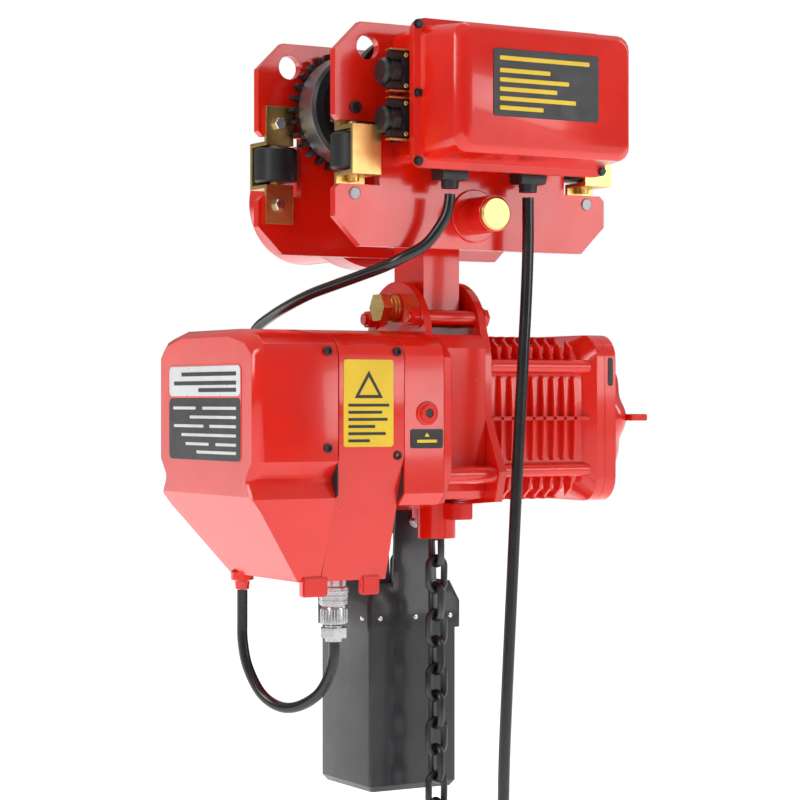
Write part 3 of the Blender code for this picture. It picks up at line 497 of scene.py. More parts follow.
# ---- pieces that follow the CAD ----
def plate_outline():
    """A side plate: an octagon with a notch in each short edge for the guide rollers."""
    right = [
        (PLATE_HALF - PLATE_CHAMFER, PLATE_BOTTOM),
        (PLATE_HALF, PLATE_BOTTOM + PLATE_CHAMFER),
        (PLATE_HALF, NOTCH_LOW - 5),
        (PLATE_HALF - 5, NOTCH_LOW),
        (PLATE_HALF - NOTCH_DEEP, NOTCH_LOW),
        (PLATE_HALF - NOTCH_DEEP, NOTCH_HIGH),
        (PLATE_HALF - 5, NOTCH_HIGH),
        (PLATE_HALF, NOTCH_HIGH + 5),
        (PLATE_HALF, PLATE_TOP - PLATE_CHAMFER),
        (PLATE_HALF - PLATE_CHAMFER, PLATE_TOP),
    ]
    return mirrored(right, 0.0)


def add_side_plate(name, side, extra_holes=()):
    """A trolley side plate with its lifting, axle and shaft holes; side is -1 in front, 1 behind."""
    holes = [circle(0, SHAFT_Z, SHAFT_R + GAP)]
    for x in (-1, 1):
        holes.append(circle(x * LIFT_HOLE_X, LIFT_HOLE_Z, LIFT_HOLE_R, 14))
        for z in (43.5, -41.0):
            holes.append(circle(x * 138, z, 4.5, 8))
    low, high = sorted((side * PLATE_IN, side * PLATE_OUT))
    made = add_object(name, prism([plate_outline(), *holes, *extra_holes], "Y", low, high), "red_paint")
    return join(made, axle(-WHEEL_X, side), axle(WHEEL_X, side))


def axle(x, side):
    """A wheel's axle stud, pressed into the side plate, with a collar at the wheel's inner face."""
    profile = [(0, 13), (16, 13), (16, 22.5), (AXLE_R, 22.5), (AXLE_R, PLATE_OUT - 1), (0, PLATE_OUT - 1)]
    return turned("Y", x, WHEEL_Z, [(r, side * y) for r, y in profile], 14)


def add_load_shaft():
    """The shaft that ties the side plates together and carries the hanger."""
    front, back = -133.0, 106.0
    profile = [(0, front), (SHAFT_R - 2, front), (SHAFT_R, front + 2), (SHAFT_R, back - 2),
               (SHAFT_R - 2, back), (0, back)]
    add_object("load_shaft", turned("Y", 0, SHAFT_Z, profile), "zinc_gold")
    for name, low, high in (("spacer_front", -PLATE_IN + GAP, -30 - GAP),
                            ("spacer_rear", 30 + GAP, PLATE_IN - GAP)):
        ring = [(SHAFT_R + GAP, low), (25, low), (25, high), (SHAFT_R + GAP, high)]
        add_object(name, turned("Y", 0, SHAFT_Z, ring), "red_paint")


def wheel_profile(side, geared):
    """A flanged trolley wheel's section, from the plate inwards."""
    near, step, rim = side * 71.0, side * 58.5, side * 25.0
    edge = TREAD_R - 4 if geared else TREAD_R + 6.5
    bore = AXLE_R + GAP
    return [(bore, near), (edge, near), (edge, step), (TREAD_R, step), (TREAD_R, side * 28.0),
            (TREAD_R - 3, rim), (46, rim), (42, rim + side * 9), (24, rim + side * 9), (22, rim - side * 2),
            (bore, rim - side * 2)]


def add_wheel(name, x, side, geared):
    """One wheel: a plain flange in front, a toothed one behind."""
    made = add_object(name, turned("Y", x, WHEEL_Z, wheel_profile(side, geared)), "dark_iron")
    if geared:
        phase = 0.0 if x < 0 else gear_phase()
        edge = toothed(x, WHEEL_Z, WHEEL_TEETH, GEAR_MODULE, phase)
        join(made, prism([edge, circle(x, WHEEL_Z, 40, 10)], "Y", 58.5, 70.8))


def pinion_drop():
    """How far the drive pinion's centre lies below the wheel centres."""
    reach = GEAR_MODULE * (WHEEL_TEETH + PINION_TEETH) / 2
    return math.sqrt(reach ** 2 - WHEEL_X ** 2)


def pinion_phase():
    """The pinion's phase, in teeth, that puts a gap on the left wheel's tooth."""
    to_pinion = math.atan2(-pinion_drop(), WHEEL_X)
    wheel_at = to_pinion / (2 * math.pi) * WHEEL_TEETH
    wheel_offset = wheel_at - round(wheel_at)
    back = (to_pinion + math.pi) / (2 * math.pi) * PINION_TEETH
    return back + 0.5 + wheel_offset


def gear_phase():
    """The right wheel's phase, in teeth, that meshes it with the same pinion."""
    to_wheel = math.atan2(pinion_drop(), WHEEL_X)
    pinion_at = to_wheel / (2 * math.pi) * PINION_TEETH - pinion_phase()
    offset = pinion_at - round(pinion_at)
    back = (to_wheel + math.pi) / (2 * math.pi) * WHEEL_TEETH
    return back + 0.5 + offset


def add_wheels():
    """The four wheels; the rear ones are geared."""
    for side, row in ((-1, "front"), (1, "rear")):
        for x, end in ((-WHEEL_X, "left"), (WHEEL_X, "right")):
            add_wheel(f"wheel_{row}_{end}", x, side, side > 0)


def add_drive_pinion():
    """The pinion between the geared wheels, on the trolley gearbox's output shaft."""
    z = WHEEL_Z - pinion_drop()
    made = add_object("drive_pinion", prism([toothed(0, z, PINION_TEETH, GEAR_MODULE, pinion_phase())], "Y",
                                            59, 71),
                      "bright_steel")
    shaft = tube("Y", 0, z, (0, 8), (60, 134), 10)
    gear = prism([toothed(0, z, TROLLEY_GEAR, 2.0)], "Y", 118, 130)
    join(made, shaft, gear)


def add_trolley_drive():
    """The trolley's gear case, motor case and rotor, outside the rear plate."""
    z_out = WHEEL_Z - pinion_drop()
    z = z_out - TROLLEY_GEAR - TROLLEY_PINION
    seat = PLATE_OUT + GAP
    profile = [(0, 112), (76, 112), (80, 116), (80, 150), (74, 150), (74, 117), (0, 117)]
    case = add_object("trolley_gear_case", turned("Y", 0, z, profile), "red_paint")
    join(case, slab("Y", seat, 113, -42, -14, 42, 50, 10))
    cut(case, tube("Y", 0, z_out, (0, 9.5), (80, 118), 12))
    start = 150 + GAP
    shell = [(10, start), (80, start), (80, start + 8), (68, start + 12), (68, 286), (60, 298), (0, 301),
             (0, 293), (56, 290), (62, 282), (62, start + 6), (10, start + 6)]
    add_object("trolley_motor_case", turned("Y", 0, z, shell), "red_paint")
    rotor = [(0, 131), (8, 131), (8, 165), (44, 165), (44, 270), (7, 270), (7, 285), (0, 285)]
    made = add_object("trolley_rotor", turned("Y", 0, z, rotor, 12), "bright_steel")
    join(made, prism([toothed(0, z, TROLLEY_PINION, 2.0, 0.75)], "Y", 118, 132))


def strip_outline(side):
    """The side view of a roller bracket: two tabs on the plate with a square bulge between them."""
    inner, outer, t = PLATE_IN - GAP - STRIP_THICK, STRIP_OUT, STRIP_THICK
    top, high, low, bottom = 62.0, 25.0, -24.0, -61.0
    path = [(inner + t, top), (inner + t, high), (outer, high), (outer, low), (inner + t, low),
            (inner + t, bottom), (inner, bottom), (inner, low + t), (outer - t, low + t),
            (outer - t, high - t), (inner, high - t), (inner, top)]
    return [(side * y, z) for y, z in path]


def add_guide_rollers():
    """Each roller bracket with its pin, and the roller that runs along the beam's edge."""
    for side, row in ((-1, "front"), (1, "rear")):
        for x, end in ((-ROLLER_X, "left"), (ROLLER_X, "right")):
            strip = prism([strip_outline(side)], "X", x - STRIP_HALF, x + STRIP_HALF)
            bracket = add_object(f"roller_bracket_{row}_{end}", strip, "zinc_gold")
            pin = [(0, -29), (6, -29), (6, 30), (0, 30)]
            join(bracket, turned("Z", x, side * ROLLER_Y, pin, 12))
            low, high = -17.5, 18.5
            wall = [(6.5, low), (ROLLER_R - 2, low), (ROLLER_R, low + 2), (ROLLER_R, high - 2),
                    (ROLLER_R - 2, high), (6.5, high)]
            add_object(f"guide_roller_{row}_{end}", turned("Z", x, side * ROLLER_Y, wall, 14),
                       "black_plastic")


def box_row(grow, y, radius):
    """One rounded outline of the control box, grown beyond its rim's inside."""
    half_x, half_z = 105.0 + grow, 65.0 + grow
    return y, rounded(BOX_X - half_x, BOX_Z - half_z, BOX_X + half_x, BOX_Z + half_z, radius, 2)


def add_control_box():
    """The box's back tray and its domed cover, both hollow and open towards each other."""
    rim = BOX_RIM_Y
    tray = [box_row(0, BOX_BACK_Y, 8), box_row(0, rim + 3, 8), box_row(8, rim + 3, 12), box_row(8, rim, 12),
            box_row(-3, rim, 5), box_row(-3, BOX_BACK_Y - 3, 5)]
    add_object("box_base", loft("Y", tray), "red_paint")
    seat, front = rim - GAP, BOX_FRONT_Y
    cover = [box_row(-3, seat, 5), box_row(8, seat, 12), box_row(8, seat - 5, 12), box_row(1, seat - 7, 12),
             box_row(-3, front + 8, 14), box_row(-8, front + 1, 14), box_row(-10, front, 13)]
    hollow = [box_row(-3, seat + 5, 5), box_row(-3, seat - 4, 5), box_row(-7, front + 10, 10),
              box_row(-11, front + 4, 12)]
    cut(add_object("box_cover", loft("Y", cover), "red_paint"), loft("Y", hollow))


def add_glands():
    """The two cable clamps under the box, each with a collar round its cable."""
    for name, x, size in (("gland_power", -46.0, POWER_CORD), ("gland_pendant", 46.5, PENDANT_CORD)):
        top = BOX_Z - 65.0 - GAP
        y = -118.0
        made = add_object(name, block((x - 27, y - 15, top - 5), (x + 27, y + 15, top), 1.0),
                          "black_plastic")
        join(made, block((x - 16, y - 11, top - 16), (x + 16, y + 11, top - 4), 1.5),
             turned("Z", x, y, [(0, -34.7), (size / 2 + 3, -34.7), (size / 2 + 4, top - 8), (0, top - 8)],
                    12))


def add_hanger():
    """The bar between the load shaft and the hoist's suspension bolt."""
    eye = tube("Y", 0, SHAFT_Z, (SHAFT_R + GAP, 31), (-30, 30))
    made = add_object("hanger_bar", eye, "red_paint")
    low = PIN_Z - 20
    side = [(-30, -80.0), (30, -80.0), (30, low + 10), (20, low), (-20, low), (-30, low + 10)]
    join(made, prism([side], "X", HANGER_X - 21.5, HANGER_X + 21.5))
    cut(made, tube("X", 0, PIN_Z, (0, 10 + GAP), (-40, 40), 16))


def body_outline(grow=0.0, bottom=None):
    """The hoist's section: straight sides, an arched top and, in front of the motor, a bevelled base."""
    half = BODY_HALF + grow
    top = -173.0 + grow
    upper = [(half, -202), (half - 4, -191 + grow), (half - 16, -182 + grow), (half - 52, top - 2)]
    if bottom is None:
        lower = [(60, -357 - grow), (half - 12, -350 - grow), (half, -338)]
    else:
        lower = [(76 + grow, bottom - grow), (half, -300)]
    right = [(HOIST_Y + u, v) for u, v in lower + upper]
    return mirrored(right, HOIST_Y)


def ear_outline(corner):
    """A suspension flange: the body's section with a round ear on top, wider at its lower corners."""
    half = 85.0 if corner else BODY_HALF
    right = [(HOIST_Y + 40, -354), (HOIST_Y + half + (20 if corner else -14), -349)]
    right += [(HOIST_Y + half + (29 if corner else 0), -318), (HOIST_Y + half, -262 if corner else -300)]
    right += [(HOIST_Y + half, -202), (HOIST_Y + half - 16, -183)]
    left = [(2 * HOIST_Y - u, v) for u, v in reversed(right)]
    if corner:
        left = left[1:]
    ear = []
    for i in range(49):
        angle = math.pi * (0.04 + 0.92 * i / 48)
        ear.append((EAR_R * math.cos(angle), EAR_Z + EAR_R * math.sin(angle)))
    return right + [(66, -180)] + ear + [(-63, -181)] + left


def add_flanges():
    """The two flange plates whose ears hang on the suspension bolt."""
    ribs = [(45.0, -160.0, 6.0), (-45.0, -160.0, 6.0)]
    for name, span, corner in (("left_flange", FLANGE_LEFT, False), ("right_flange", FLANGE_RIGHT, True)):
        bearing = circle(HOIST_Y, HOIST_Z, 26 if corner else 22, 16)
        holes = [circle(0, PIN_Z, 10 + GAP, 16), bearing]
        holes += [circle(y, z, r + GAP, 12) for y, z, r in ribs]
        add_object(name, prism([ear_outline(corner), *holes], "X", *span), "red_paint")


def add_suspension():
    """The suspension bolt and the tie rods between the ears."""
    bolt = [(0, -52), (10, -52), (10, 52), (0, 52)]
    made = add_object("suspension_bolt", turned("X", 0, PIN_Z, bolt, 16), "zinc_gold")
    head = prism([circle(0, PIN_Z, 15.6, 6)], "X", -63, -51.9)
    nut = prism([circle(0, PIN_Z, 15.6, 6)], "X", 37, 48)
    boss = tube("X", 0, PIN_Z, (0, 14), (-52, -40 - GAP), 16)
    join(made, head, nut, boss)
    for name, y in (("tie_rod_front", -45.0), ("tie_rod_rear", 45.0)):
        rod = [(0, -54), (6, -54), (6, FLANGE_LEFT[1] + GAP), (7.5, FLANGE_LEFT[1] + GAP),
               (7.5, FLANGE_RIGHT[0] - GAP), (6, FLANGE_RIGHT[0] - GAP), (6, 42), (0, 42)]
        add_object(name, turned("X", y, -160, rod, 12), "red_paint")


def add_mid_frame():
    """The housing between the flanges, hollow for the load sheave and open below for the chain."""
    low, high = FLANGE_LEFT[1] + GAP, FLANGE_RIGHT[0] - GAP
    half = 87.0
    right = [(HOIST_Y + 50, -350), (HOIST_Y + half - 6, -346), (HOIST_Y + half, -338),
             (HOIST_Y + half, -192), (HOIST_Y + half - 10, -178)]
    outline, bearing = mirrored(right, HOIST_Y), circle(HOIST_Y, HOIST_Z, 22, 16)
    made = add_object("mid_frame", prism([outline, bearing], "X", low, high), "red_paint")
    cut(made, tube("X", HOIST_Y, HOIST_Z, (0, 57), (-21, 15)),
        block((CHAIN_X - 15, LOAD_Y - 15, -360), (CHAIN_X + 15, LOAD_Y + 15, -184)),
        block((CHAIN_X - 15, SLACK_Y - 15, -360), (CHAIN_X + 15, SLACK_Y + 15, -184)))
    lug = [(28, -345), (28, -392), (33, -405), (37, -405), (37, -345)]
    join(made, prism([lug], "X", -12, 6))


def add_chain_guide():
    """The guide under the frame that the load chain runs through."""
    made = add_object("chain_guide", tube("Z", CHAIN_X, LOAD_Y, (0, 20), (-388, -350.5), 16), "red_paint")
    join(made, block((-6.5, -60, -368), (17, -20, -350.5), 1.0),
         block((-20, -20, -368), (14, 2, -350.5), 1.0))
    cut(made, tube("Z", CHAIN_X, LOAD_Y, (0, 15), (-400, -340), 16))


def add_gear_cases():
    """The gear case beside the left flange and the taller electrical case beyond it."""
    low, high = CASE_SEAM + GAP, FLANGE_LEFT[0] - GAP
    case = add_object("gearbox_case", prism([body_outline()], "X", low, high), "red_paint")
    cut(case, prism([body_outline(-7)], "X", low + 6, high + 5))
    low, high = COVER_SEAM + GAP, CASE_SEAM - GAP
    outline = body_outline(0, CASE_BOTTOM)
    made = add_object("electrical_case", prism([outline], "X", low, high), "red_paint")
    cut(made, prism([body_outline(-6, CASE_BOTTOM)], "X", low - 5, high - 6))
    back = HOIST_Y + BODY_HALF
    spigot = [(0, back - 3), (15, back - 3), (15, back + 6), (11, back + 8), (9, back + 18), (0, back + 18)]
    join(made, turned("Y", -131, -248, spigot, 12))


def cover_section(x, grow):
    """The left cover's section: a groove runs along each side, above a tapered lower part."""
    half = BODY_HALF - 1 + grow
    right = [(75 + grow, CASE_BOTTOM - grow), (half - 5, -341), (half - 13, -326), (half - 13, -321),
             (half, -305), (half, -202), (half - 4, -191 + grow), (half - 16, -182 + grow),
             (half - 52, -175 + grow)]
    return x, mirrored([(HOIST_Y + u, v) for u, v in right], HOIST_Y)


def add_left_cover():
    """The end cover: hollow, with its lower edge sliced off at a slant."""
    slant_at, slant = (COVER_END, 0, -339.0), (-86.0, 0, -66.0)
    shell = loft("X", [cover_section(COVER_SEAM - GAP, 0), cover_section(COVER_END + 11, 0),
                       cover_section(COVER_END + 3, -4), cover_section(COVER_END, -7.5)])
    made = add_object("left_cover", sliced(shell, slant_at, slant), "red_paint")
    low = CASE_BOTTOM - 16
    spigot = [(0, low), (7, low), (8, low + 8), (12, low + 10), (12, low + 18), (0, low + 18)]
    join(made, turned("Z", -178, 80, spigot, 12))
    hollow = loft("X", [cover_section(COVER_SEAM + 4, -5), cover_section(COVER_END + 14, -5),
                        cover_section(COVER_END + 6, -11)])
    cut(made, sliced(hollow, (COVER_END + 6, 0, -339.0), slant))


def square(half, radius):
    """A square with round corners about the hoist's axis."""
    return rounded(HOIST_Y - half, HOIST_Z - half, HOIST_Y + half, HOIST_Z + half, radius, 3)


def lobed(radius):
    """A round outline with eight shallow lobes about the hoist's axis."""
    points = []
    for i in range(96):
        angle = 2 * math.pi * i / 96
        reach = radius + 4.0 * math.cos(8 * angle)
        points.append((HOIST_Y + reach * math.cos(angle), HOIST_Z + reach * math.sin(angle)))
    return points


def add_motor():
    """The hoist motor: a finned housing, an end cover with the brake in it, and the rotor."""
    start, end = FLANGE_RIGHT[1] + GAP, MOTOR_END
    housing = loft("X", [(start, square(79, 42)), (150, square(79, 42)), (160, square(85, 30)),
                         (164, square(88, 26)), (end, square(88, 26))])
    made = add_object("motor_housing", housing, "red_paint")
    cut(made, tube("X", HOIST_Y, HOIST_Z, (0, 74), (44, 200)),
        tube("X", HOIST_Y, HOIST_Z, (0, 9), (20, 50), 12))
    low = end + GAP
    dome = add_object("motor_end_cover", loft("X", [(low, square(88, 26)), (188, square(88, 26))]),
                      "red_paint")
    join(dome, loft("X",
                    [(x, lobed(r)) for x, r in ((187, 80), (193, 80), (207, 74), (216, 64),
                                                (END_COVER_X, 50))]))
    cut(dome, turned("X", HOIST_Y, HOIST_Z, [(0, 150), (70, 150), (70, 190), (50, 212), (0, 214)]))
    join(dome, block((215, -62, -267), (236, -38, -260), 0.8))
    add_rotor()


def add_rotor():
    """The rotor, its shaft through the hollow sheave, the drive pinion and the brake disc."""
    profile = [(0, -78), (6, -78), (6, 46), (7, 46), (7, 60), (58, 60), (58, 150), (8, 150), (8, 176),
               (52, 176), (52, 184), (8, 184), (8, 205), (0, 205)]
    made = add_object("motor_rotor", turned("X", HOIST_Y, HOIST_Z, profile, 14), "bright_steel")
    join(made, prism([toothed(HOIST_Y, HOIST_Z, 9, STAGE_MODULE)], "X", -76, -64))


def add_sheave_and_gears():
    """The load sheave with its output gear, and the gear stage between it and the rotor's pinion."""
    bore = 8.0
    groove, edge = SHEAVE_R - CHAIN_WIDE / 2 - 1, SHEAVE_R + 12
    profile = [(bore, -58), (14, -58), (14, -20), (edge, -20), (edge, -16.5), (groove, -16.5),
               (groove, 10.5), (edge, 10.5), (edge, 14), (18, 14), (18, 30), (bore, 30)]
    made = add_object("load_sheave", turned("X", HOIST_Y, HOIST_Z, profile, 14), "dark_iron")
    join(made, prism([toothed(HOIST_Y, HOIST_Z, 24, STAGE_MODULE), circle(HOIST_Y, HOIST_Z, 12, 8)], "X",
                     -57, -47))
    stage_y = HOIST_Y + STAGE_MODULE * 17
    big = toothed(stage_y, HOIST_Z, 25, STAGE_MODULE)
    small = toothed(stage_y, HOIST_Z, 10, STAGE_MODULE, 0.5)
    stage = add_object("gear_stage", prism([big], "X", -74, -66), "bright_steel")
    join(stage, prism([small], "X", -67, -46),
         tube("X", stage_y, HOIST_Z, (0, 6), (-78, -43), 10))


def bucket_row(grow, z):
    """One outline of the chain bucket, grown beyond its outside."""
    return z, rounded(-58.0 - grow, 22.5 - grow, 47.0 + grow, 131.0 + grow, 4.0, 2)


def add_bucket():
    """The chain bucket and the collar that hangs it under the hoist."""
    row = bucket_row
    tray = [row(-4, -655), row(0, -649), row(0, -470), row(-2.5, -470), row(-2.5, -646)]
    add_object("chain_bucket", loft("Z", tray), "bucket_black")
    inside, outside = 1.0, 3.5
    ring = [row(inside, -486), row(outside, -486), row(outside, -458), row(-4, -437), row(-6.5, -437),
            row(inside, -459)]
    collar = add_object("bucket_hanger", loft("Z", ring, ring=True), "bucket_black")
    for y in (24.0, 124.0):
        arm = prism([[(-30, -445), (24, -445), (20, -358), (-26, -358)]], "Y", y, y + 3.5)
        join(collar, arm)
    foot = [(127.5, -362), (127.5, -334), (104.3, -334), (104.3, -337.5), (124, -337.5), (124, -362)]
    join(collar, prism([foot], "X", -20, 14))


def add_hook():
    """The hook block on the chain's end, the swivelling hook and its latch."""
    z = CHAIN_END
    profile = [(0, z - GAP), (17, z - GAP), (24, z - 12), (24, z - 36), (15, z - 46), (0, z - 46)]
    add_object("hook_block", turned("Z", CHAIN_X, LOAD_Y, profile, 16), "black_steel")
    top = z - 46 - GAP
    centre = top - 52.0
    points = [(CHAIN_X, LOAD_Y, top - drop) for drop in (0, 10, 18)]
    radii = [9, 9, 9]
    for i in range(36):
        share = i / 35
        angle = math.radians(72 - 250 * share)
        points.append((CHAIN_X + 26 * math.cos(angle), LOAD_Y, centre + 26 * math.sin(angle)))
        radii.append(9 + 4 * math.sin(math.pi * min(1, share * 1.1)) - 3 * share)
    points.append((points[-1][0] - 3, LOAD_Y, points[-1][2] + 12))
    radii.append(4.0)
    add_object("load_hook", swept(points, radii, 10), "bright_steel")
    add_latch(centre)


def add_latch(centre):
    """The sprung tongue that closes the hook's mouth."""
    x, z = CHAIN_X - 12.0, centre + 28.0
    tip = (CHAIN_X - 18.5, centre + 2.0)
    side = [(x - 2, z), (x + 2, z + 1), (tip[0] + 4, tip[1]), (tip[0] + 1, tip[1])]
    add_object("hook_latch", prism([side], "Y", LOAD_Y - 6, LOAD_Y + 6), "bright_steel")


def add_connector():
    """The metal plug connector under the electrical case."""
    x, y, top = -124.0, -20.0, CASE_BOTTOM - GAP
    profile = [(0, top), (13, top), (13, top - 8), (15, top - 9), (15, top - 26), (12.5, top - 28),
               (13.5, top - 30), (13.5, top - 46), (9, top - 48), (9, top - 64), (0, top - 64)]
    add_object("cable_connector", turned("Z", x, y, profile, 14), "bright_steel")


def pendant_row(grow, z):
    """One outline of the hand control, grown beyond its outside."""
    x, y = PENDANT_X, TAIL_Y
    return z, rounded(x - 27 - grow, y - 22 - grow, x + 27 + grow, y + 22 + grow, 10, 2)


def add_pendant():
    """The hand control on the pendant cord: a case with four push buttons and an emergency stop."""
    x, y, top = PENDANT_X, TAIL_Y, PENDANT_TOP
    low = top - PENDANT_TALL
    rows = [pendant_row(-4, low), pendant_row(0, low + 4), pendant_row(0, top - 6), pendant_row(-8, top)]
    case = add_object("pendant_case", loft("Z", rows), "pendant_yellow")
    boot = [(0, top - 2), (13, top - 2), (9, top + 14), (8, top + 25.7), (0, top + 25.7)]
    join(case, turned("Z", x, y, boot, 12))
    face = y - 22.0
    buttons = [("stop", 0.0, -32.0, 8.0), ("up", -12.0, -78.0, 8.5), ("down", 12.0, -78.0, 8.5),
               ("left", -12.0, -112.0, 8.5), ("right", 12.0, -112.0, 8.5)]
    for name, dx, dz, radius in buttons:
        u, v = x + dx, top + dz
        cut(case, turned("Y", u, v, [(0, face - 5), (radius + 0.5, face - 5), (radius + 0.5, face + 14),
                                     (0, face + 14)], 12))
        profile = [(0, face - 4), (radius, face - 4), (radius, face + 8), (0, face + 8)]
        if name == "stop":
            profile = [(0, face - 16), (13, face - 15), (15, face - 11), (15, face - 6), (radius, face - 6),
                       (radius, face + 8), (0, face + 8)]
        finish = "button_red" if name == "stop" else "black_plastic"
        add_object(f"button_{name}", turned("Y", u, v, profile, 12), finish)


# ---- details ----
def hex_bolt(axis, u, v, seat, out, across, tall, washer=0.0):
    """A hexagon head on a washer; out is +1 or -1 along the axis."""
    solids = []
    if washer:
        solids.append(tube(axis, u, v, (0, washer), (seat, seat + out * 1.6), 10))
    base = seat + out * (1.5 if washer else 0)
    radius = across / math.sqrt(3)
    outline = [ring(u, v, radius * k, 6) for k in (1, 1, 0.86)]
    solids.append(loft(axis, [(base, outline[0]), (base + out * tall * 0.8, outline[1]),
                              (base + out * tall, outline[2])]))
    return merged(solids)


def socket_screw(axis, u, v, seat, out, radius, tall):
    """A round cap screw with a hexagon socket."""
    top = seat + out * tall
    rows = [(seat, ring(u, v, radius, 24)), (top - out * 0.6, ring(u, v, radius, 24)),
            (top, ring(u, v, radius - 0.6, 24)), (top, ring(u, v, radius * 0.55, 24)),
            (top - out * tall * 0.7, ring(u, v, radius * 0.5, 24))]
    return loft(axis, rows)


def add_box_details():
    """The control box's label, rim screws, seal and side clamps."""
    label = slab("Y", -210.75, -209.5, -53, 28, 69, 93, 3)
    extra("box_label", label, "print_and_shade_black", "trolley")
    bars = [slab("Y", -211.0, -210.7, -46, z, -46 + wide, z + 4.2, 1.0)
            for z, wide in ((82.0, 104.0), (70.0, 58.0), (61.0, 80.0), (52.0, 66.0), (43.0, 88.0),
                            (34.0, 50.0))]
    extra("box_label_bars", merged(bars), "label_yellow", "trolley")
    screws = [hex_bolt("Y", x, z, -144.8, -1, 7.0, 3.2, 5.0)
              for x in (-98.5, 117.5) for z in (-12.0, 54.0, 121.0)]
    extra("box_screws", merged(screws), "dark_iron", "trolley")
    seal = loft("Y", [(-138.9, rounded(-103.0, -18.0, 122.0, 127.0, 12)),
                      (-141.4, rounded(-103.0, -18.0, 122.0, 127.0, 12))])
    extra("box_seal", seal, "black_plastic", "trolley")
    clamps, brass = [], []
    for z in (77.0, 30.0):
        clamps.append(block((-108, -130, z - 21), (-94, -101, z + 21), 2.0))
        clamps.append(turned("X", -116, z, [(0, -125), (11, -125), (13.5, -122), (13.5, -107), (0, -107)],
                             12))
        clamps.append(prism([ring(-116, z, 17.0, 6)], "X", -117, -109))
        for up in (-15, 15):
            clamps.append(block((-121, -131, z + up - 4), (-100, -120, z + up + 4), 1.5))
            brass.append(block((-122, -131.6, z + up * 1.35 - 0.9), (-99, -121, z + up * 1.35 + 0.9), 0.4))
            brass.append(socket_screw("Y", -104, z + up, -131.0, -1, 2.4, 1.4))
    extra("box_side_glands", merged(clamps), "black_plastic", "trolley")
    extra("box_gland_screws", merged(brass), "zinc_gold", "trolley")


def add_trolley_details():
    """Bracket bolts, the shaft's boss rings, wheel axle rings and treads."""
    for side, row in ((-1, "front"), (1, "rear")):
        face = side * PLATE_OUT
        bolts, ends = [], []
        for x in (-138, 138):
            bolts.append(socket_screw("Y", x, 43.5, face - side * 0.1, side, 6.0, 4.0))
            ends.append(turned("Y", x, -41, [(0, face - side * 0.1), (6.2, face - side * 0.1),
                                             (6.2, face + side), (5.4, face + side * 1.6),
                                             (0, face + side * 1.6)], 10))
        extra(f"bracket_bolts_{row}", merged(bolts), "black_steel", "trolley")
        extra(f"bracket_pin_ends_{row}", merged(ends), "tread_steel", "trolley")
        axle_ends = [hex_bolt("Y", x, WHEEL_Z, face - side * 1.5, side, 20.0, 8.0, 15.0)
                     for x in (-WHEEL_X, WHEEL_X)]
        if side > 0:
            extra("axle_nuts_rear", merged(axle_ends), "zinc_gold", "trolley")
        nuts = [hex_bolt("Y", x, z, side * (PLATE_IN - 4.5), -side, 12.0, 5.5) for x in (-138, 138)
                for z in (43.5, -41)]
        extra(f"bracket_nuts_{row}", merged(nuts), "bright_steel", "trolley")
    boss = [(17.1, -88.8), (27, -88.8), (27, -91), (26, -92), (18.6, -92), (18.6, -128.5), (18, -129.3),
            (17.1, -129.3)]
    extra("shaft_boss", turned("Y", 0, SHAFT_Z, boss), "red_paint", "trolley")
    collar = [(17.1, 88.8), (24, 88.8), (24, 93), (17.1, 93)]
    extra("shaft_collar", turned("Y", 0, SHAFT_Z, collar), "red_paint", "trolley")
    for side, row in ((-1, "front"), (1, "rear")):
        for x, end in ((-WHEEL_X, "left"), (WHEEL_X, "right")):
            add_wheel_details(x, side, f"{row}_{end}")


def add_wheel_details(x, side, end):
    """A wheel's bright rolling surface, its bearing's cover ring and six screws."""
    tread = [(TREAD_R - 2.0, side * 28.4), (TREAD_R + 0.2, side * 29.4), (TREAD_R + 0.3, side * 34),
             (TREAD_R + 0.3, side * 52), (TREAD_R + 0.2, side * 57), (TREAD_R - 2.0, side * 58.2)]
    body = f"wheel_{end}_body"
    extra(f"tread_{end}", turned("Y", x, WHEEL_Z, tread, 32), "tread_steel", body)
    cover = [(12, side * 24), (21, side * 24), (21, side * 22.2), (19, side * 21.6), (13, side * 21.6),
             (12, side * 22.6)]
    extra(f"bearing_ring_{end}", turned("Y", x, WHEEL_Z, cover, 16), "bright_steel", body)
    screws = []
    for i in range(6):
        angle = math.radians(60 * i + 20)
        screws.append(socket_screw("Y", x + 33 * math.cos(angle), WHEEL_Z + 33 * math.sin(angle),
                                   side * 34.2, -side, 3.6, 3.0))
    extra(f"wheel_screws_{end}", merged(screws), "bright_steel", body)


def add_suspension_details():
    """Washers of the suspension bolt, and the tie rods' heads."""
    washers = [tube("X", 0, PIN_Z, (10.2, 15), (a, b), 16)
               for a, b in ((-43.6, -41.2), (-47.5, -45.4), (34.8, 37))]
    extra("suspension_washers", merged(washers), "zinc_gold", "hoist")
    nuts = []
    for y in (-45.0, 45.0):
        nuts.append(hex_bolt("X", y, -160, FLANGE_LEFT[0] - 0.1, -1, 17.0, 9.0, 11.0))
        nuts.append(hex_bolt("X", y, -160, FLANGE_RIGHT[1] + 0.1, 1, 17.0, 6.0, 11.0))
    extra("tie_rod_nuts", merged(nuts), "red_paint", "hoist")
    boss = [tube("X", -85, -321, (0, 9), (-31, 26), 12)]
    extra("lower_tie_boss", merged(boss), "red_paint", "hoist")


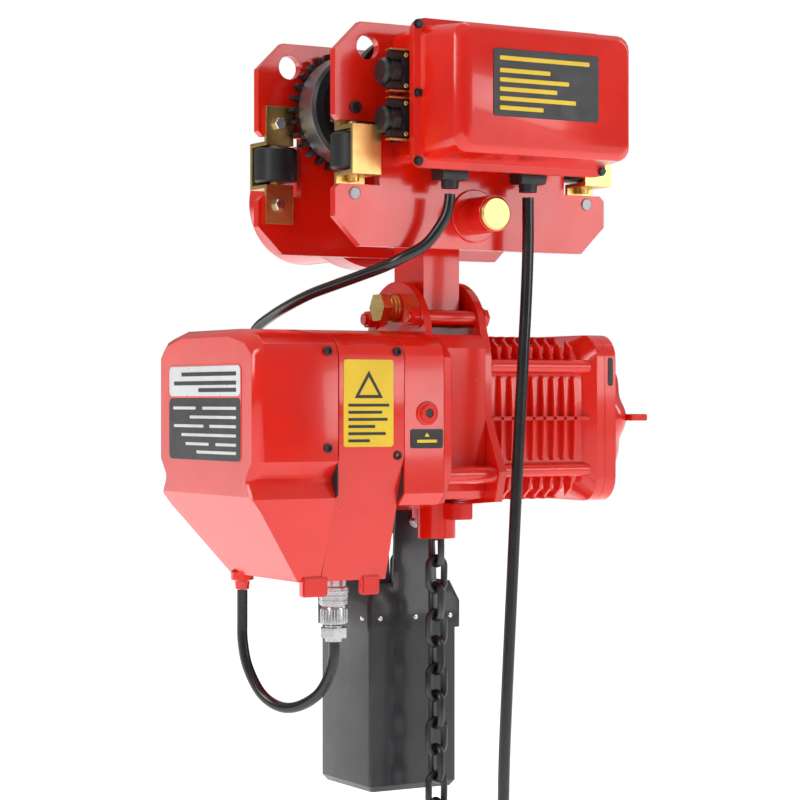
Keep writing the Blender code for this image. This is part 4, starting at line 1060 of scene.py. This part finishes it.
def add_body_details():
    """Plates, plugs, screws and feet of the gear case, electrical case and left cover."""
    x = COVER_END
    extra("name_plate_frame", slab("X", x - 0.4, x + 1.0, -67, -307, 102, -209, 9), "red_paint", "hoist")
    extra("name_plate_dark", slab("X", x - 0.7, x + 0.5, -65, -305, 100, -243, 6), "print_and_shade_black", "hoist")
    extra("name_plate_light", slab("X", x - 0.7, x + 0.5, -65, -241, 100, -211, 6), "label_silver", "hoist")
    bars = []
    for z, spans in ((-253, ((-56, 20), (36, 90))), (-262, ((-56, 50),)), (-271, ((-56, 4), (18, 88))),
                     (-280, ((-56, 70),)), (-289, ((-56, -10), (6, 60))), (-297, ((-56, 34),))):
        bars += [slab("X", x - 0.95, x - 0.5, a, z - 1.5, b, z + 1.5, 0.8) for a, b in spans]
    extra("name_plate_bars", merged(bars), "label_white", "hoist")
    bars = [slab("X", x - 0.95, x - 0.5, -56, z - 2.0, b, z + 2.0, 1.0)
            for z, b in ((-219, 70), (-228, 88), (-235, 30))]
    extra("name_plate_dark_bars", merged(bars), "print_and_shade_black", "hoist")
    y = HOIST_Y - BODY_HALF
    extra("side_plate_yellow", slab("Y", y - 0.9, y + 1.0, -155, -291, -99, -205, 3), "label_yellow",
          "hoist")
    marks = [prism([[(-127, -216), (-143, -243), (-111, -243)], [(-127, -222), (-138, -240), (-116, -240)]],
                   "Y", y - 1.2, y - 0.5)]
    marks += [slab("Y", y - 1.2, y - 0.5, -150, z - 1.4, b, z + 1.4, 0.7)
              for z, b in ((-250, -104), (-257, -112), (-264, -106), (-271, -120), (-278, -108),
                           (-285, -126))]
    extra("side_plate_marks", merged(marks), "print_and_shade_black", "hoist")
    extra("side_plate_black", slab("Y", y - 0.9, y + 1.0, -79, -293, -42, -274, 2), "print_and_shade_black", "hoist")
    plug = merged([turned("Y", -60, -258, [(0, y + 1), (12, y + 1), (12, y - 1.5), (11, y - 2.5),
                                           (0, y - 2.5)], 12),
                   socket_screw("Y", -60, -258, y - 2.2, -1, 8.5, 3.5)])
    marks = [slab("Y", y - 1.2, y - 0.5, -72, -287.5, -49, -284.5, 0.8),
             prism([[(-63.5, -281.5), (-57.5, -281.5), (-60.5, -277.5)]], "Y", y - 1.2, y - 0.5)]
    extra("side_plate_bars", merged(marks), "label_yellow", "hoist")
    extra("oil_plug", plug, "red_paint", "hoist")
    # painted shade: a black hexagon deep in the plug's socket stands in for the dark inside of the socket
    extra("oil_plug_socket_shade", prism([ring(-60, -258, 4.4, 6)], "Y", y - 4.6, y - 3.4), "print_and_shade_black",
          "hoist")
    seams = []
    for seam in (COVER_SEAM, CASE_SEAM, FLANGE_LEFT[0]):
        seams.append(prism([body_outline(-2.5)], "X", seam - 0.6, seam + 0.6))
    extra("case_seals", merged(seams), "black_plastic", "hoist")
    feet = [block((-181, -62, -440), (-153, -52, -420), 1.5),
            block((-114, -62, -440), (-94, -52, -420), 1.5)]
    extra("case_feet", merged(feet), "red_paint", "hoist")
    screws = [socket_screw("Y", cx, cz, y + 1.2, -1, 4.5, 3.0)
              for cx, cz in ((-172, -197), (-172, -292), (-94, -197), (-94, -300))]
    screws += [socket_screw("Y", cx, cz, HOIST_Y + BODY_HALF - 1.2, 1, 4.5, 3.0)
               for cx, cz in ((-172, -212), (-172, -292), (-94, -212))]
    extra("case_screws", merged(screws), "dark_iron", "hoist")


def add_motor_details():
    """Cooling fins in rows round the motor, the rails between them and the end cover's bolts."""
    tall = [(70, -47), (84, -42), (86, -20), (86, 20), (84, 42), (70, 47)]
    short = [(64, 62), (80, 62), (77, 74), (66, 82)]
    top = [(-52, 74), (-46, 85.8), (46, 85.8), (52, 74)]
    outlines = [[(HOIST_Y + u * k, HOIST_Z + v) for u, v in tall] for k in (-1, 1)]
    outlines += [[(HOIST_Y + u * k, HOIST_Z + v * n) for u, v in short] for k in (-1, 1) for n in (-1, 1)]
    outlines += [[(HOIST_Y + u, HOIST_Z + v * n) for u, v in top] for n in (-1, 1)]
    fins = [prism([outline], "X", x, x + 2.8) for x in range(46, 150, 13) for outline in outlines]
    for y in (HOIST_Y - 83, HOIST_Y + 83):
        fins.append(block((35, y - 3, HOIST_Z - 2.2), (158, y + 3, HOIST_Z + 2.2), 1.0))
        for z in (-54, 54):
            inward = 5 if y < HOIST_Y else -5
            fins.append(turned("X", y + inward, HOIST_Z + z, [(0, 35), (7.5, 35), (7.5, 158), (0, 160)],
                               10))
    extra("motor_fins", merged(fins), "red_paint", "hoist")
    bolts = []
    for y, z in ((-77, -77), (-77, 77), (77, -77), (77, 77)):
        bolts.append(hex_bolt("X", HOIST_Y + y * 0.93, HOIST_Z + z * 0.93, 188.6, 1, 9.0, 5.0, 6.5))
    extra("end_cover_bolts", merged(bolts), "bright_steel", "hoist")
    cap = [(0, 221), (34, 221), (34, 224), (30, 226), (12, 226.5), (10, 229), (0, 229)]
    extra("end_cover_cap", turned("X", HOIST_Y, HOIST_Z, cap, 16), "red_paint", "hoist")
    # painted shade: a thin black plate on the end cover stands in for the dark inside of its slot
    slot = slab("Y", HOIST_Y - 88.6, HOIST_Y - 87, 178, -230, 184, -200, 2.8)
    extra("end_slot_shade", slot, "print_and_shade_black", "hoist")


def link_points(z, turn, x, y):
    """The middle line of one chain link, upright about z."""
    half = (CHAIN_WIDE - CHAIN_WIRE) / 2
    straight = (LINK_PITCH + CHAIN_WIRE) / 2 - half
    points = []
    for i in range(LINK_POINTS):
        angle = 2 * math.pi * i / LINK_POINTS
        side = half * math.cos(angle)
        up = half * math.sin(angle) + (straight if i < LINK_POINTS // 2 else -straight)
        points.append(Vector((x + (side if turn else 0), y + (0 if turn else side), z + up)))
    return points


def add_link(bm, path, out):
    """One link's wire round its middle line; out is square to the link's plane."""
    rows = []
    for i, point in enumerate(path):
        along = (path[(i + 1) % LINK_POINTS] - path[i - 1]).normalized()
        flat = along.cross(out)
        angles = [2 * math.pi * j / WIRE_POINTS for j in range(WIRE_POINTS)]
        rows.append([bm.verts.new(point + (out * math.cos(a) + flat * math.sin(a)) * CHAIN_WIRE / 2)
                     for a in angles])
    for i, row in enumerate(rows):
        after = rows[(i + 1) % LINK_POINTS]
        for j in range(WIRE_POINTS):
            k = (j + 1) % WIRE_POINTS
            bm.faces.new((row[j], row[k], after[k], after[j]))


def chain_links(x, y, low, high):
    """Links of alternating planes down a strand, as one mesh."""
    bm = bmesh.new()
    z, turn = high - 22, 0
    while z - 21.2 >= low:
        out = Vector((0, 1, 0)) if turn else Vector((1, 0, 0))
        add_link(bm, link_points(z, turn, x, y), out)
        z, turn = z - LINK_PITCH, 1 - turn
    return finish_mesh(bm)


def add_chains():
    """The load strand and the slack strand."""
    add_object("load_chain", chain_links(CHAIN_X, LOAD_Y, CHAIN_END - 14, HOIST_Z), "black_steel")
    add_object("slack_chain", chain_links(CHAIN_X, SLACK_Y, -562, HOIST_Z), "black_steel")


def add_bucket_details():
    """Rivets round the bucket's collar band and bolts of its arms."""
    rivets = []
    for x in (-48, -5.5, 37):
        rivets += [turned("Y", x, -473, [(0, 19.9), (3.4, 19.9), (2.4, 17.8), (0, 17.3)], 6),
                   turned("Y", x, -473, [(0, 133.8), (3.4, 133.8), (2.4, 135.8), (0, 136.3)], 6)]
    for y in (33, 77, 121):
        rivets += [turned("X", y, -473, [(0, -61), (3.4, -61), (2.4, -63), (0, -63.5)], 6),
                   turned("X", y, -473, [(0, 50), (3.4, 50), (2.4, 52), (0, 52.5)], 6)]
    extra("bucket_rivets", merged(rivets), "bright_steel", "hoist")
    bolts = [hex_bolt("Y", -3, -372, 24.2, -1, 10, 5, 7.5), hex_bolt("Y", -3, -372, 127.3, 1, 10, 5, 7.5)]
    extra("bucket_arm_bolts", merged(bolts), "bright_steel", "hoist")


def add_connector_details():
    """Knurling and the nut of the cord loop's connector."""
    x, y, top = -124.0, -20.0, CASE_BOTTOM - GAP
    knurl = [block((x + 13.0 * math.cos(a) - 0.7, y + 13.0 * math.sin(a) - 0.7, top - 45),
                   (x + 13.0 * math.cos(a) + 0.7, y + 13.0 * math.sin(a) + 0.7, top - 31))
             for a in (2 * math.pi * i / 28 for i in range(28))]
    nut = prism([ring(x, y, 15.0, 6), ring(x, y, 9.2, 20)], "Z", top - 60, top - 50)
    rings = [tube("Z", x, y, (12, 15.6), (z, z - 1.6), 10) for z in (top - 12, top - 17, top - 22)]
    extra("connector_knurl", merged(knurl + [nut] + rings), "bright_steel", "hoist")


def add_pendant_details():
    """Ribs of the pendant's cord boot, arrows beside its buttons and the case's screws."""
    x, y, top = PENDANT_X, TAIL_Y, PENDANT_TOP
    ribs = [tube("Z", x, y, (6.5, r), (z, z + 2.4), 12)
            for z, r in ((top + 3, 12.6), (top + 8, 11.2), (top + 13, 10.2), (top + 18, 9.4),
                         (top + 22.5, 9.0))]
    extra("pendant_boot_ribs", merged(ribs), "black_plastic", "trolley")
    face = y - 22.0
    marks = []
    for dx, dz, tip in ((-12, -62.5, 4), (12, -93.5, -4)):
        u, v = x + dx, top + dz
        marks.append(prism([[(u - 4, v), (u + 4, v), (u, v + tip)]], "Y", face - 0.5, face + 0.4))
    for dx, dz, tip in ((-21.5, -112, -3.4), (21.5, -112, 3.4)):
        u, v = x + dx, top + dz
        marks.append(prism([[(u, v - 3), (u, v + 3), (u + tip, v)]], "Y", face - 0.5, face + 0.4))
    extra("pendant_marks", merged(marks), "print_and_shade_black", "trolley")
    screws = [socket_screw("Y", x + dx, top + dz, face + 0.4, -1, 2.6, 1.4) for dx in (-19, 19)
              for dz in (-12, -136)]
    extra("pendant_screws", merged(screws), "bright_steel", "trolley")


# ---- cords ----
def coil_points():
    """The tied turns of the spare pendant cord, from the straight part to the tail."""
    x, y, z = COIL_CENTRE
    count = COIL_POINTS * COIL_TURNS
    points = []
    for i in range(1, count):
        angle = -2 * math.pi * i / COIL_POINTS
        points.append(Vector((x + COIL_R * math.cos(angle), y - COIL_PITCH * i / COIL_POINTS,
                              z + COIL_R * math.sin(angle))))
    return points


def add_cord(name, points, diameter, body, nodes):
    """A free cord as a smooth bevelled curve."""
    curve = bpy.data.curves.new(name, "CURVE")
    curve.dimensions = "3D"
    curve.bevel_depth = diameter / 2 * MM
    curve.bevel_resolution = 6
    curve.use_fill_caps = True
    spline = curve.splines.new("POLY")
    spline.points.add(len(points) - 1)
    for place_on, point in zip(spline.points, points):
        place_on.co = (*(point * MM), 1.0)
    spline.use_smooth = True
    curve.materials.append(material("cable_black"))
    made = bpy.data.objects.new(name, curve)
    bpy.context.scene.collection.objects.link(made)
    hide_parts(*nodes)
    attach(made, body)


def add_cords():
    """The power cord, the loop under the case, and the pendant cord with its coil and tail."""
    add_cord("power_cord", smooth_points(POWER_ROUTE, 5), POWER_CORD, "hanger",
             ["cable_power"])
    add_cord("loop_cord", smooth_points(LOOP_ROUTE, 5), LOOP_CORD, "hoist", ["cable_loop"])
    down = PENDANT_ROUTE[:-1] + [(16.6, COIL_CENTRE[1], -694), (16.6, COIL_CENTRE[1], -735)]
    tail = [(16.6, TAIL_Y, -735)] + TAIL_ROUTE
    points = smooth_points(down, 6) + coil_points() + smooth_points(tail, 6)
    for i, angle in enumerate((math.radians(112), math.radians(232))):
        x, z = COIL_CENTRE[0] + COIL_R * math.cos(angle), COIL_CENTRE[2] + COIL_R * math.sin(angle)
        low, high = TAIL_Y - 7.2, COIL_CENTRE[1] + 7.2
        inner = loft("Z", [(-4, rounded(-7.2, low, 7.2, high, 6)), (4, rounded(-7.2, low, 7.2, high, 6))])
        for vert in inner.verts:
            u, y, w = vert.co
            vert.co = (x + u * math.cos(angle) - w * math.sin(angle), y,
                       z + u * math.sin(angle) + w * math.cos(angle))
        extra(f"coil_tie_{i}", inner, "black_plastic", "trolley")
    add_cord("pendant_cord", points, PENDANT_CORD, "trolley",
             ["cable_pendant", "cable_coil", "cable_tail"])


# ---- stage ----
def add_camera():
    data = bpy.data.cameras.new("camera")
    data.lens, data.sensor_width = CAMERA_LENS, CAMERA_SENSOR
    made = bpy.data.objects.new("camera", data)
    made.location = CAMERA_AT
    made.rotation_euler = (math.radians(90), 0, math.radians(CAMERA_TURN))
    bpy.context.scene.collection.objects.link(made)
    bpy.context.scene.camera = made


def add_light(name, place_at, look_at, size, power):
    data = bpy.data.lights.new(name, "AREA")
    data.shape = "RECTANGLE"
    data.size, data.size_y = size
    data.energy = power
    made = bpy.data.objects.new(name, data)
    made.location = place_at
    made.rotation_euler = (Vector(look_at) - Vector(place_at)).to_track_quat("-Z", "Y").to_euler()
    bpy.context.scene.collection.objects.link(made)


def add_surround():
    """White where the camera looks past the object; for the lighting, dim low down and bright above."""
    world = bpy.data.worlds.new("surround")
    world.use_nodes = True
    tree = world.node_tree
    back = tree.nodes["Background"]
    where = tree.nodes.new("ShaderNodeTexCoord")
    parts = tree.nodes.new("ShaderNodeSeparateXYZ")
    tree.links.new(where.outputs["Generated"], parts.inputs["Vector"])
    shade = value(tree, "ShaderNodeMapRange", From_Min=-0.05, From_Max=0.8, To_Min=0.08, To_Max=0.55)
    tree.links.new(parts.outputs["Z"], shade.inputs["Value"])
    rays = tree.nodes.new("ShaderNodeLightPath")
    choose = tree.nodes.new("ShaderNodeMix")
    choose.inputs["B"].default_value = 1.0
    tree.links.new(rays.outputs["Is Camera Ray"], choose.inputs["Factor"])
    tree.links.new(shade.outputs["Result"], choose.inputs["A"])
    tree.links.new(choose.outputs["Result"], back.inputs["Strength"])
    back.inputs["Color"].default_value = (1, 1, 1, 1)
    bpy.context.scene.world = world


def add_stage():
    """A pale floor, a white surround and three soft lights."""
    bm = bmesh.new()
    bmesh.ops.create_grid(bm, x_segments=8, y_segments=8, size=FLOOR_HALF)
    bmesh.ops.translate(bm, verts=bm.verts, vec=(0, 0, FLOOR_Z))
    floor = raw_object("floor", bm, "label_white")
    floor.data.materials.clear()
    pale = finish_material("floor", (0.93, 0.93, 0.93), (0.91, 0.91, 0.91), 0.6, grain=(2, 2, 2), bump=0.02)
    pale.node_tree.nodes["Principled BSDF"].inputs["Emission Color"].default_value = (1, 1, 1, 1)
    pale.node_tree.nodes["Principled BSDF"].inputs["Emission Strength"].default_value = 0.7
    floor.data.materials.append(pale)
    add_surround()
    add_light("key", (-2.6, -0.9, 1.2), (0, 0, -0.1), (0.8, 1.6), 26)
    add_light("panel_right", (1.9, -3.0, 0.35), (0, 0, -0.05), (1.5, 0.9), 17)
    add_light("panel_left", (-1.7, 2.6, -0.45), (0, 0, -0.3), (1.1, 0.8), 3.2)
    add_light("edge", (2.0, -0.4, 0.9), (0, 0, -0.2), (0.4, 1.6), 9)
    add_light("top", (0.1, 0.5, 2.0), (0, 0, -0.2), (1.4, 1.4), 20)
    bpy.context.scene.view_settings.view_transform = "Standard"


def declare_pieces():
    """Each look rides on its CAD node's body and hides the node."""
    for name, (made, finish) in PIECES.items():
        smooth(made)
        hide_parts(name)
        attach(made, BODY_OF[name])


def build():
    add_camera()
    add_cords()
    add_side_plate("front_plate", -1)
    add_side_plate("rear_plate", 1, [circle(0, WHEEL_Z - pinion_drop(), 10, 16)])
    for add in (add_load_shaft, add_wheels, add_drive_pinion, add_trolley_drive, add_guide_rollers,
                add_control_box, add_glands, add_hanger, add_flanges, add_suspension, add_mid_frame,
                add_chain_guide, add_gear_cases, add_left_cover, add_motor, add_sheave_and_gears,
                add_chains, add_bucket, add_hook, add_connector, add_pendant):
        add()
    declare_pieces()
    for add in (add_box_details, add_trolley_details, add_suspension_details, add_body_details,
                add_motor_details, add_bucket_details, add_connector_details, add_pendant_details,
                add_stage):
        add()


build()
